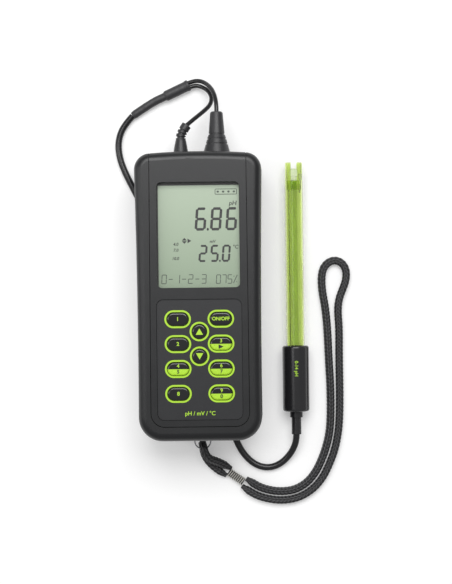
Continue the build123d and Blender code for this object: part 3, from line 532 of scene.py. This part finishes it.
def binding_thread():
    """The helix of the wrapping thread round the flat bundle."""
    run = binding_end - binding_start
    forward = run.normalized()
    sideways = forward.cross(Vector((0, 0, 1)))
    points = []
    for index in range(thread_turns * thread_points + 1):
        turned = 2 * math.pi * index / thread_points
        share = thread_inset + (1 - 2 * thread_inset) * index / (thread_turns * thread_points)
        along = binding_start + run * share
        across = sideways * binding_half_width * math.cos(turned)
        points.append(along + across + Vector((0, 0, binding_half_height * math.sin(turned))))
    return points


binding = smooth_cord("binding_thread", binding_thread(), thread_diameter)
binding.data.resolution_u = 3
binding.data.bevel_resolution = 2
thread_wax = grained_finish(
    "thread_wax", screen_colour(196, 193, 186), roughness=0.45, grain=0.3, relief=0.05, mottle=0.2
)
binding.data.materials.append(thread_wax)
core_fibre = grained_finish(
    "core_fibre", screen_colour(14, 14, 15), roughness=0.7, grain=0.3, relief=0.05
)
core_line = even_points([binding_start * mm, binding_end * mm], core_pitch * mm)
binding_core = swept_tube("binding_core", core_line, [core_radius] * len(core_line), core_sides)
binding_core.data.materials.append(core_fibre)
for piece in (binding, binding_core):
    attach(piece, "meter")
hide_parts("strap_binding")

# Split ring
# A small ring of sprung steel wire round the pin in the strap slot, bright but rubbed. The
# electrode's wire and its metal sensing pin have the same bright drawn finish.
bright_steel = grained_finish(
    "bright_steel",
    screen_colour(196, 197, 200),
    roughness=0.26,
    grain=0.2,
    relief=0.01,
    mottle=0.08,
    metallic=1.0,
)
dress(bright_steel, "strap_ring", "strap_pin", "redox_pin", "reference_wire")

# Floor and lamps
# A white table top under one large soft lamp beyond the connector end, a long one to the left,
# and a plain pale surround.
floor_mesh = bmesh.new()
bmesh.ops.create_grid(floor_mesh, x_segments=1, y_segments=1, size=3.0)
floor_data = bpy.data.meshes.new("floor")
floor_mesh.to_mesh(floor_data)
floor_mesh.free()
floor = bpy.data.objects.new("floor", floor_data)
scene.collection.objects.link(floor)
paper_white = 0.72
paper_lift = 0.3
floor_paper, paper_tree = new_material("floor_paper")[:2]
paper_tree.nodes.clear()
paper_link = paper_tree.links.new
paper_out = add_node(paper_tree, "OutputMaterial")
paper_diffuse = add_node(paper_tree, "BsdfDiffuse", Color=(paper_white,) * 3 + (1,))
paper_glow = add_node(paper_tree, "Emission")
paper_path = add_node(paper_tree, "LightPath")
paper_sum = add_node(paper_tree, "AddShader")
seen_glossy, seen_any, lift = [add_node(paper_tree, "Math") for step in range(3)]
seen_glossy.operation = "MAXIMUM"
seen_any.operation = "MAXIMUM"
lift.operation = "MULTIPLY"
lift.inputs[1].default_value = paper_lift
paper_link(paper_path.outputs["Is Camera Ray"], seen_glossy.inputs[0])
paper_link(paper_path.outputs["Is Glossy Ray"], seen_glossy.inputs[1])
paper_link(seen_glossy.outputs[0], seen_any.inputs[0])
paper_link(paper_path.outputs["Is Transmission Ray"], seen_any.inputs[1])
paper_link(seen_any.outputs[0], lift.inputs[0])
paper_link(lift.outputs[0], paper_glow.inputs["Strength"])
paper_link(paper_diffuse.outputs[0], paper_sum.inputs[0])
paper_link(paper_glow.outputs[0], paper_sum.inputs[1])
paper_link(paper_sum.outputs[0], paper_out.inputs["Surface"])
floor.data.materials.append(floor_paper)

sky_strength = 0.38
white = (1, 1, 1, 1)
surround = bpy.data.worlds.new("surround")
surround.use_nodes = True
scene.world = surround
sky = surround.node_tree
sky.nodes.clear()
sky_out = add_node(sky, "OutputWorld")
sky_path = add_node(sky, "LightPath")
sky_light = add_node(sky, "Background", Color=white, Strength=sky_strength)
sky_seen = add_node(sky, "Background", Color=white)
sky_mix = add_node(sky, "MixShader")
sky.links.new(sky_path.outputs["Is Camera Ray"], sky_mix.inputs["Fac"])
sky.links.new(sky_light.outputs[0], sky_mix.inputs[1])
sky.links.new(sky_seen.outputs[0], sky_mix.inputs[2])
sky.links.new(sky_mix.outputs[0], sky_out.inputs["Surface"])


def soft_lamp(name, place, aim, width, height, power):
    """A flat soft lamp that faces a point; its sizes are in metres and its power in watts."""
    light = bpy.data.lights.new(name, "AREA")
    light.shape = "RECTANGLE"
    light.size = width
    light.size_y = height
    light.energy = power
    lamp = bpy.data.objects.new(name, light)
    lamp.location = place
    lamp.rotation_euler = (Vector(aim) - Vector(place)).to_track_quat("-Z", "Y").to_euler()
    scene.collection.objects.link(lamp)


soft_lamp(
    "main_softbox", place=(0.05, 0.72, 1.4), aim=(0, 0.1, 0), width=1.3, height=0.9, power=20
)
soft_lamp(
    "left_strip", place=(-0.9, 0.1, 0.9), aim=(0, 0, 0.02), width=0.3, height=1.4, power=3.5
)

# Case
# Two shells of black glass-filled nylon with a fine spark-eroded grain, a smoother centre plate
# let into the upper one, a black seal between them and steel screws from below.
case_nylon = grained_finish(
    "case_nylon", screen_colour(19, 20, 22), roughness=0.38, grain=0.45, relief=0.05
)
plate_nylon = grained_finish(
    "plate_nylon", screen_colour(21, 22, 24), roughness=0.36, grain=0.45, relief=0.04
)
seal_rubber = grained_finish(
    "seal_rubber", screen_colour(26, 26, 27), roughness=0.7, grain=0.6, relief=0.05
)
foot_rubber = grained_finish(
    "foot_rubber", screen_colour(40, 40, 41), roughness=0.75, grain=0.5, relief=0.08
)
screw_steel = grained_finish(
    "screw_steel",
    screen_colour(150, 152, 155),
    roughness=0.34,
    grain=0.25,
    relief=0.01,
    mottle=0.1,
    metallic=1.0,
)
dress(case_nylon, "front_shell", "rear_shell", "battery_door", "end_panel")
dress(plate_nylon, "front_bezel")
dress(seal_rubber, "case_gasket", "window_gasket")
dress(foot_rubber, "rear_feet")
dress(screw_steel, "case_screws", "board_screws")

# Keypad panel
# A plate of black plastic, a shade more matt than the case, with a lime ring let in round each
# key and the units printed in lime below the keys. Places on the meter are measured from the
# middle of its case, and a letter is as tall as figure_share of its font's size.
panel_plastic = grained_finish(
    "panel_plastic", screen_colour(24, 25, 28), roughness=0.45, grain=0.3, relief=0.04
)
lime_paint = grained_finish(
    "lime_paint", screen_colour(172, 218, 48), roughness=0.45, grain=0.4, relief=0.02, mottle=0.06
)
dress(panel_plastic, "keypad_panel")
dress(lime_paint, "key_rings")
meter_x = -15.35
meter_y = -4.75
keypad_top = 49.0
units_y = -76.8
units_height = 2.6
print_lift = 0.02
print_thickness = 0.01
figure_share = 0.7


def linked(name, mesh, material):
    """A piece from a mesh, in the scene and with its finish."""
    piece = bpy.data.objects.new(name, mesh)
    mesh.materials.append(material)
    scene.collection.objects.link(piece)
    return piece


def lettering(name, text, place, height, material, weight=0.0, lean=0.0, turned=0.0):
    """Flat lettering centred at a place, as tall as its figures, in a mesh."""
    font = bpy.data.curves.new(name, "FONT")
    font.body = text
    font.size = height / figure_share * mm
    font.align_x = "CENTER"
    font.align_y = "CENTER"
    font.shear = lean
    font.offset = weight * mm
    font.extrude = print_thickness * mm
    drawn = bpy.data.objects.new(name, font)
    scene.collection.objects.link(drawn)
    bpy.context.view_layer.update()
    mesh = bpy.data.meshes.new_from_object(drawn)
    bpy.data.objects.remove(drawn)
    seat = Matrix.Translation(Vector(place) * mm) @ Matrix.Rotation(math.radians(turned), 4, "Z")
    mesh.transform(seat)
    return linked(name, mesh, material)


units = lettering(
    "panel_units",
    "pH / mV / °C",
    (meter_x, meter_y + units_y, keypad_top + print_lift),
    height=units_height,
    material=lime_paint,
    weight=0.05,
)
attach(units, "meter")

# Keys
# Ten caps of glossy black plastic with softly rounded rims. Six carry one lime legend, and four
# are split, black with a lime legend above and lime with a black one below. Each legend's row
# gives its key, its words, the key's column and row, and for a single one its height.
key_top = 50.5
key_column_x = 14.1
key_rows = [-15.0, -31.25, -47.5, -63.75]
half_legend_offset = 1.9
half_legend_height = 2.3
split_offset = -0.1
merge_distance = 0.001
soft_edge_angle = 35
key_gloss = grained_finish(
    "key_gloss", screen_colour(17, 17, 19), roughness=0.18, grain=0.5, relief=0.01, coat=0.5
)
black_paint = grained_finish(
    "black_paint", screen_colour(24, 26, 22), roughness=0.4, grain=0.4, relief=0.02
)
dress(key_gloss, "key_escape", "key_power", "key_recall", "key_setup", "key_up", "key_down")


def key_place(column, row, offset=0.0):
    """The middle of a key's top, or a place above or below it; column is -1 or 1."""
    x = meter_x + column * key_column_x
    y = meter_y + key_rows[row] + offset
    return (x, y, key_top + print_lift)


single_legends = [
    ("key_escape", "1", -1, 0, 2.4),
    ("key_power", "ON/OFF", 1, 0, 2.2),
    ("key_recall", "2", -1, 1, 2.4),
    ("key_setup", "8", -1, 3, 2.4),
]
for key, text, column, row, height in single_legends:
    legend = lettering(
        key + "_legend", text, key_place(column, row), height, lime_paint, weight=0.1
    )
    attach(legend, key)

split_legends = [
    ("key_range", "3", "", 1, 1),
    ("key_clear", "4", "5", -1, 2),
    ("key_edit", "6", "7", 1, 2),
    ("key_accept", "9", "0", 1, 3),
]


def split_key(key, split_y):
    """A copy of the cap whose lower half has a face of its own for the lime print."""
    shape = bmesh.new()
    shape.from_mesh(nodes[key].data)
    bmesh.ops.remove_doubles(shape, verts=shape.verts, dist=merge_distance * mm)
    everything = shape.verts[:] + shape.edges[:] + shape.faces[:]
    bmesh.ops.bisect_plane(
        shape, geom=everything, plane_co=(0, split_y * mm, 0), plane_no=(0, 1, 0)
    )
    for face in shape.faces:
        below = face.calc_center_median().y < split_y * mm
        outside = face.calc_center_median().z > keypad_top * mm
        face.material_index = 1 if below and outside else 0
        face.smooth = True
    mesh = bpy.data.meshes.new(key + "_cap")
    shape.to_mesh(mesh)
    shape.free()
    mesh.set_sharp_from_angle(angle=math.radians(soft_edge_angle))
    cap = linked(key + "_cap", mesh, key_gloss)
    mesh.materials.append(lime_paint)
    return cap


for key, above, below, column, row in split_legends:
    cap = split_key(key, meter_y + key_rows[row] + split_offset)
    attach(cap, key)
    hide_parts(key)
    top_place = key_place(column, row, half_legend_offset)
    legend = lettering(
        key + "_upper_legend", above, top_place, half_legend_height, lime_paint, weight=0.08
    )
    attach(legend, key)
    if below:
        low_place = key_place(column, row, -half_legend_offset)
        legend = lettering(
            key + "_lower_legend", below, low_place, half_legend_height, black_paint, weight=0.12
        )
        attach(legend, key)


def arrow(name, body, place, width, height, turned, material):
    """A printed triangle that points up before it is turned; it rides on a body."""
    shape = bmesh.new()
    bmesh.ops.create_circle(shape, cap_ends=True, segments=3, radius=1)
    bmesh.ops.scale(shape, vec=(width / math.sqrt(3), height / 1.5, 1), verts=shape.verts)
    bmesh.ops.translate(shape, vec=(0, -height / 6, 0), verts=shape.verts)
    spun = Matrix.Rotation(math.radians(turned), 4, "Z")
    bmesh.ops.transform(shape, matrix=spun, verts=shape.verts)
    bmesh.ops.transform(shape, matrix=Matrix.Diagonal((mm, mm, mm, 1)), verts=shape.verts)
    bmesh.ops.translate(shape, vec=Vector(place) * mm, verts=shape.verts)
    bmesh.ops.recalc_face_normals(shape, faces=shape.faces)
    mesh = bpy.data.meshes.new(name)
    shape.to_mesh(mesh)
    shape.free()
    print_piece = linked(name, mesh, material)
    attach(print_piece, body)


arrow_up_y = -23.2
arrow_down_y = -39.35
arrow_up_place = (meter_x, meter_y + arrow_up_y, key_top + print_lift)
arrow_down_place = (meter_x, meter_y + arrow_down_y, key_top + print_lift)
arrow_right_place = key_place(1, 1, -half_legend_offset)
arrow_width = 4.8
arrow_height = 4.2
arrow("arrow_up", "key_up", arrow_up_place, arrow_width, arrow_height, 0, lime_paint)
arrow("arrow_down", "key_down", arrow_down_place, arrow_width, arrow_height, 180, lime_paint)
arrow("arrow_right", "key_range", arrow_right_place, 2.9, 3.3, -90, black_paint)

# Display
# A reflective liquid crystal panel of pale grey-green under a clear acrylic window. A black band
# round its edge is partly the window's dark gasket and partly painted shadow of the window's walls,
# and the panel is painted lighter at the top and darker below as painted light and shade. Its
# figures are dark slanting bars, and the small ones at the bottom are fainter.
# A figure is drawn in bars on a grid one wide and two high, and a bar's shares are of its stroke.
lcd_top = 44.5
# The panel's colour runs from lit green at the connector end to shaded green towards the keys:
# painted light and shade from the lamp beyond the connector end.
lcd_shading_span = (6, 70)
lcd_lit_green = screen_colour(168, 184, 161)
lcd_shaded_green = screen_colour(140, 158, 133)
lcd_glass = grained_finish(
    "lcd_glass", lcd_lit_green, roughness=0.35, grain=0.5, relief=0.005, mottle=0.02
)
lcd_tree = lcd_glass.node_tree
lcd_shader = lcd_tree.nodes["Principled BSDF"]
lcd_split = add_node(lcd_tree, "SeparateXYZ")
lcd_shading_ramp = add_node(lcd_tree, "MapRange")
lcd_shading_ramp.inputs["From Min"].default_value = (meter_y + lcd_shading_span[0]) * mm
lcd_shading_ramp.inputs["From Max"].default_value = (meter_y + lcd_shading_span[1]) * mm
lcd_lit_to_shaded = add_node(lcd_tree, "Mix")
lcd_lit_to_shaded.data_type = "RGBA"
lcd_lit_to_shaded.inputs["A"].default_value = lcd_shaded_green
lcd_lit_to_shaded.inputs["B"].default_value = lcd_lit_green
lcd_place = add_node(lcd_tree, "TexCoord")
lcd_tree.links.new(lcd_place.outputs["Object"], lcd_split.inputs["Vector"])
lcd_tree.links.new(lcd_split.outputs["Y"], lcd_shading_ramp.inputs["Value"])
lcd_tree.links.new(lcd_shading_ramp.outputs["Result"], lcd_lit_to_shaded.inputs["Factor"])
lcd_tree.links.new(lcd_lit_to_shaded.outputs["Result"], lcd_shader.inputs["Base Color"])
lcd_ink = grained_finish(
    "lcd_ink", screen_colour(10, 13, 12), roughness=0.6, grain=0.5, relief=0.005
)
lcd_faint_ink = grained_finish(
    "lcd_faint_ink", screen_colour(58, 68, 58), roughness=0.6, grain=0.5, relief=0.005
)
dress(lcd_glass, "lcd_panel")

segment_ends = {
    "a": ((0, 2), (1, 2)),
    "b": ((1, 2), (1, 1)),
    "c": ((1, 1), (1, 0)),
    "d": ((0, 0), (1, 0)),
    "e": ((0, 0), (0, 1)),
    "f": ((0, 1), (0, 2)),
    "g": ((0, 1), (1, 1)),
}
figure_segments = {
    "0": "abcdef",
    "1": "bc",
    "2": "abged",
    "3": "abgcd",
    "5": "acdfg",
    "6": "acdefg",
    "7": "abc",
    "8": "abcdefg",
    "-": "g",
}
ink_thickness = 0.03
ink_gap = 0.005
bar_shortening = 0.35
bar_corner = 0.3
point_half_width = 0.6
point_height = 1.1
percent_ring_rise = 0.18
percent_ring_width = 0.3
percent_ring_height = 1.3


def ink_bar(shape, start, end, stroke, slant):
    """One dark bar with pointed ends between two points, leaning by the slant."""
    run = Vector((*end, 0)) - Vector((*start, 0))
    middle = (Vector((*start, 0)) + Vector((*end, 0))) / 2
    length = run.length - stroke * bar_shortening
    turned = math.atan2(run.y, run.x)
    bar = bmesh.ops.create_cube(shape, size=1)["verts"]
    bmesh.ops.scale(shape, vec=(length, stroke, ink_thickness), verts=bar)
    upright = []
    for edge in {edge for vertex in bar for edge in vertex.link_edges}:
        if abs(edge.verts[0].co.z - edge.verts[1].co.z) > ink_thickness / 2:
            upright.append(edge)
    cut = bmesh.ops.bevel(
        shape,
        geom=upright,
        offset=stroke * bar_corner,
        segments=1,
        profile=0.5,
        affect="EDGES",
        material=-1,
    )
    touched = list({vertex for face in cut["faces"] for vertex in face.verts})
    bmesh.ops.rotate(shape, matrix=Matrix.Rotation(turned, 3, "Z"), verts=touched)
    bmesh.ops.translate(shape, vec=middle, verts=touched)
    for vertex in touched:
        vertex.co.x += slant * vertex.co.y


def ink_figures(name, text, left, bottom, width, height, pitch, stroke, slant, ink):
    """A row of figures with their lower left corner at a place on the panel."""
    figures = bmesh.new()
    at = 0.0
    for sign in text:
        shape = bmesh.new()
        step = pitch
        shift = at
        if sign == ".":
            dot = stroke * point_half_width
            ink_bar(shape, (-dot, 0), (dot, 0), stroke * point_height, 0)
            step = 0
            shift = at - (pitch - width) / 2
        elif sign == "%":
            low = height * percent_ring_rise
            high = height - low
            ring = width * percent_ring_width
            ink_bar(shape, (0, 0), (width, height), stroke, 0)
            ink_bar(shape, (0, high), (ring, high), stroke * percent_ring_height, 0)
            ink_bar(shape, (width - ring, low), (width, low), stroke * percent_ring_height, 0)
        else:
            for segment in figure_segments[sign]:
                start, end = segment_ends[segment]
                ink_bar(
                    shape,
                    (start[0] * width, start[1] * height / 2),
                    (end[0] * width, end[1] * height / 2),
                    stroke,
                    slant,
                )
        bmesh.ops.translate(shape, vec=(shift, 0, 0), verts=shape.verts)
        single = bpy.data.meshes.new("figure")
        shape.to_mesh(single)
        shape.free()
        figures.from_mesh(single)
        bpy.data.meshes.remove(single)
        at += step
    return ink_print(name, figures, left, bottom, ink)


def ink_print(name, figures, left, bottom, ink):
    """Puts drawn bars on the panel, with their lower left corner at a place, as one piece."""
    bmesh.ops.transform(figures, matrix=Matrix.Diagonal((mm, mm, mm, 1)), verts=figures.verts)
    height = lcd_top + ink_thickness / 2 + ink_gap
    corner = Vector((meter_x + left, meter_y + bottom, height)) * mm
    bmesh.ops.translate(figures, vec=corner, verts=figures.verts)
    bmesh.ops.recalc_face_normals(figures, faces=figures.faces)
    mesh = bpy.data.meshes.new(name)
    figures.to_mesh(mesh)
    figures.free()
    piece = linked(name, mesh, ink)
    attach(piece, "meter")
    return piece


ink_figures(
    "reading_figures",
    "6.86",
    left=-1.6,
    bottom=43.7,
    width=5.6,
    height=13.5,
    pitch=10.1,
    stroke=1.7,
    slant=0.08,
    ink=lcd_ink,
)
ink_figures(
    "temperature_figures",
    "25.0",
    left=0.5,
    bottom=22.9,
    width=4.1,
    height=9.9,
    pitch=7.6,
    stroke=1.35,
    slant=0.08,
    ink=lcd_ink,
)
ink_figures(
    "row_figures",
    "0-1-2-3",
    left=-24.4,
    bottom=8.3,
    width=2.9,
    height=5.7,
    pitch=4.35,
    stroke=0.5,
    slant=0.06,
    ink=lcd_faint_ink,
)
ink_figures(
    "percent_figures",
    "075%",
    left=11.4,
    bottom=8.1,
    width=2.6,
    height=5.6,
    pitch=3.75,
    stroke=0.5,
    slant=0.06,
    ink=lcd_faint_ink,
)

# The small marks: a status box with four squares, three pointers, and the units and list.
mark_lift = 0.03
status_width = 14.1
status_height = 3.4
status_line = 0.45
status_squares = 4
square_half_width = 1.0
square_height = 1.3
status_box = bmesh.new()
for height in (0, status_height):
    ink_bar(status_box, (0, height), (status_width, height), status_line, 0)
for across in (0, status_width):
    ink_bar(status_box, (across, 0), (across, status_height), status_line, 0)
for index in range(status_squares):
    middle = status_width * (index + 0.5) / status_squares
    left = (middle - square_half_width, status_height / 2)
    right = (middle + square_half_width, status_height / 2)
    ink_bar(status_box, left, right, square_height, 0)
ink_print("status_box", status_box, left=11.3, bottom=66.6, ink=lcd_faint_ink)
pointers = [
    ("pointer_up", -9.2, 37.3, 3.4, 1.7, 0),
    ("pointer_down", -9.2, 35.2, 3.4, 1.7, 180),
    ("pointer_right", -5.9, 36.2, 3.0, 2.5, -90),
]
for name, x, y, width, height, turned in pointers:
    place = (meter_x + x, meter_y + y, lcd_top + mark_lift)
    arrow(name, "meter", place, width, height, turned, lcd_ink)

# A black band on the glass just inside the window's opening. It is partly the dark gasket round the
# window and partly painted shadow of the window's walls, widest at the top under the upper wall.
edge_shadow_ink = grained_finish(
    "edge_shadow_ink", screen_colour(8, 8, 9), roughness=0.6, grain=0.5, relief=0.005
)
shadow_band_outside = [(-29.0, 4.0), (29.0, 4.0), (29.0, 76.0), (-29.0, 76.0)]
shadow_band_inside = [(-26.3, 5.5), (26.9, 5.5), (26.9, 72.6), (-26.3, 72.6)]
shadow_band_lift = 0.02
shadow_band_thickness = 0.03
shadow_band_shape = bmesh.new()
loops = []
for corners in (shadow_band_outside, shadow_band_inside):
    loop = [
        shadow_band_shape.verts.new(Vector((meter_x + x, meter_y + y, lcd_top + shadow_band_lift)) * mm)
        for x, y in corners
    ]
    loops.extend(shadow_band_shape.edges.new((loop[index - 1], loop[index])) for index in range(4))
shadow_band_faces = bmesh.ops.bridge_loops(shadow_band_shape, edges=loops)["faces"]
bmesh.ops.recalc_face_normals(shadow_band_shape, faces=shadow_band_faces)
bmesh.ops.solidify(shadow_band_shape, geom=shadow_band_faces, thickness=shadow_band_thickness * mm)
bmesh.ops.recalc_face_normals(shadow_band_shape, faces=shadow_band_shape.faces)
shadow_band_mesh = bpy.data.meshes.new("display_edge_shadow")
shadow_band_shape.to_mesh(shadow_band_mesh)
shadow_band_shape.free()
edge_shadow = linked("display_edge_shadow", shadow_band_mesh, edge_shadow_ink)
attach(edge_shadow, "meter")

small_marks = [
    ("reading_unit", "pH", 22.7, 60.6, 2.9),
    ("temperature_unit", "°C", 24.2, 31.9, 2.4),
    ("second_unit", "mV", 9.2, 35.6, 1.9),
    ("list_first", "4.0", -14.9, 34.0, 1.9),
    ("list_second", "7.0", -14.9, 30.1, 1.9),
    ("list_third", "10.0", -15.2, 24.6, 1.9),
]
for name, text, x, y, height in small_marks:
    place = (meter_x + x, meter_y + y, lcd_top + mark_lift)
    mark = lettering("lcd_" + name, text, place, height, lcd_ink, weight=0.06, lean=0.15)
    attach(mark, "meter")

window_alpha = 0.02
acrylic_ior = 1.49
haze_per_metre = 120
window_acrylic, window_tree, window_shader = new_material("window_acrylic")
window_shader.inputs["Base Color"].default_value = white
window_shader.inputs["Alpha"].default_value = window_alpha
window_shader.inputs["IOR"].default_value = acrylic_ior
window_haze = add_node(window_tree, "TexNoise", Scale=haze_per_metre)
window_rough = add_node(window_tree, "MapRange", To_Min=0.04, To_Max=0.1)
window_place = add_node(window_tree, "TexCoord")
window_tree.links.new(window_place.outputs["Object"], window_haze.inputs["Vector"])
window_tree.links.new(window_haze.outputs["Fac"], window_rough.inputs["Value"])
window_tree.links.new(window_rough.outputs["Result"], window_shader.inputs["Roughness"])
dress(window_acrylic, "display_window")

# Plugs and sockets
# Both plugs wear moulded boots of soft black rubber. The wide one covers a nickel-plated coupling
# ring, and the slim one is a short cone that ends in a grooved sleeve, which lets the lead bend.
boot_rubber = grained_finish(
    "boot_rubber", screen_colour(42, 42, 44), roughness=0.4, grain=0.4, relief=0.04
)
plated_brass = grained_finish(
    "plated_brass",
    screen_colour(200, 200, 196),
    roughness=0.25,
    grain=0.3,
    relief=0.01,
    mottle=0.06,
    metallic=1.0,
)
dress(boot_rubber, "bnc_boot")
phono_boot_route = [
    (-26.7, 91.0, 25.0),
    (-26.7, 99.0, 25.0),
    (-26.4, 104.2, 25.0),
    (-22.6, 109.4, 24.6),
]
boot_step = 0.2
boot_cone_length = 8.3
boot_cone_radii = (4.85, 3.45)
boot_relief_radius = 3.3
boot_groove_radius = 2.5
boot_grooves = [10.2, 12.6, 15.0]
boot_groove_width = 0.9
boot_sides = 40
boot_flare = 1.3


def boot_radius(along):
    """The slim boot's radius at a distance from its wide end."""
    if along < boot_cone_length:
        wide, neck = boot_cone_radii
        return wide + (neck - wide) * (along / boot_cone_length) ** boot_flare
    if any(abs(along - groove) < boot_groove_width / 2 for groove in boot_grooves):
        return boot_groove_radius
    return boot_relief_radius


boot_guide = smooth_cord("boot_guide", phono_boot_route, 1)
boot_line = even_points(line_points(boot_guide), boot_step * mm)
bpy.data.objects.remove(boot_guide)
boot_radii = [boot_radius(index * boot_step) for index in range(len(boot_line))]
phono_boot = swept_tube("phono_boot_sleeve", boot_line, boot_radii, boot_sides)
phono_boot.data.materials.append(boot_rubber)
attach(phono_boot, "meter")
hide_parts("phono_boot")
dress(
    plated_brass,
    "bnc_socket",
    "bnc_coupling_ring",
    "bnc_plug",
    "phono_socket",
    "phono_plug",
    "socket_nuts",
)

# Electrode
# A clear lime acrylic tube with four guard prongs round a glass bulb, on a glossy black handle
# with a screwed gland. A glass stem, a silver wire and a platinum pin run inside the tube.
handle_gloss = grained_finish(
    "handle_gloss", screen_colour(30, 30, 32), roughness=0.22, grain=0.6, relief=0.01, coat=0.3
)
dress(handle_gloss, "probe_handle", "probe_gland")
probe_x = 49.05
probe_z = 9.0
handle_radius = 9.0
handle_mark_y = -54.5
handle_mark_height = 2.2
clear_haze_per_metre = 200


def clear_finish(name, colour, roughness, ior):
    """A clear plastic or glass whose roughness drifts by half either way in a faint haze."""
    material, tree, shader = new_material(name)
    shader.inputs["Base Color"].default_value = colour
    shader.inputs["Transmission Weight"].default_value = 1.0
    shader.inputs["IOR"].default_value = ior
    place = add_node(tree, "TexCoord")
    haze = add_node(tree, "TexNoise", Scale=clear_haze_per_metre)
    rough = add_node(tree, "MapRange", To_Min=roughness * 0.5, To_Max=roughness * 1.5)
    tree.links.new(place.outputs["Object"], haze.inputs["Vector"])
    tree.links.new(haze.outputs["Fac"], rough.inputs["Value"])
    tree.links.new(rough.outputs["Result"], shader.inputs["Roughness"])
    return material


lime_acrylic = clear_finish(
    "lime_acrylic", screen_colour(230, 243, 178), roughness=0.08, ior=1.3
)
stem_glass = clear_finish("stem_glass", screen_colour(236, 246, 214), roughness=0.05, ior=1.2)
dress(lime_acrylic, "probe_tube", "probe_stoppers")
dress(stem_glass, "probe_glass")

handle_mark = lettering(
    "handle_mark",
    "0-14 pH",
    (probe_x, handle_mark_y, probe_z + handle_radius + print_lift),
    height=handle_mark_height,
    material=lime_paint,
    weight=0.05,
    turned=-90,
)
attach(handle_mark, "meter")

# Inside the case
# The printed board is screwed to the front shell and carries the chips, the buzzer, the key domes
# and the display in its frame. The battery and its snap lie in the bay. None of it shows.
board_resin = grained_finish(
    "board_resin", screen_colour(28, 92, 52), roughness=0.45, grain=0.6, relief=0.03, mottle=0.15
)
chip_resin = grained_finish(
    "chip_resin", screen_colour(30, 30, 32), roughness=0.55, grain=0.3, relief=0.03
)
battery_wrap = grained_finish(
    "battery_wrap", screen_colour(120, 124, 130), roughness=0.35, grain=0.8, relief=0.02
)
mat_silicone = grained_finish(
    "mat_silicone", screen_colour(70, 71, 73), roughness=0.65, grain=0.5, relief=0.05
)
frame_plastic = grained_finish(
    "frame_plastic", screen_colour(36, 37, 38), roughness=0.5, grain=0.4, relief=0.04
)
dress(board_resin, "main_board")
dress(chip_resin, "board_chips", "buzzer", "battery_snap", "zebra_strip")
dress(battery_wrap, "battery")
dress(mat_silicone, "keypad_mat")
dress(frame_plastic, "lcd_frame")
dress(screw_steel, "switch_domes")
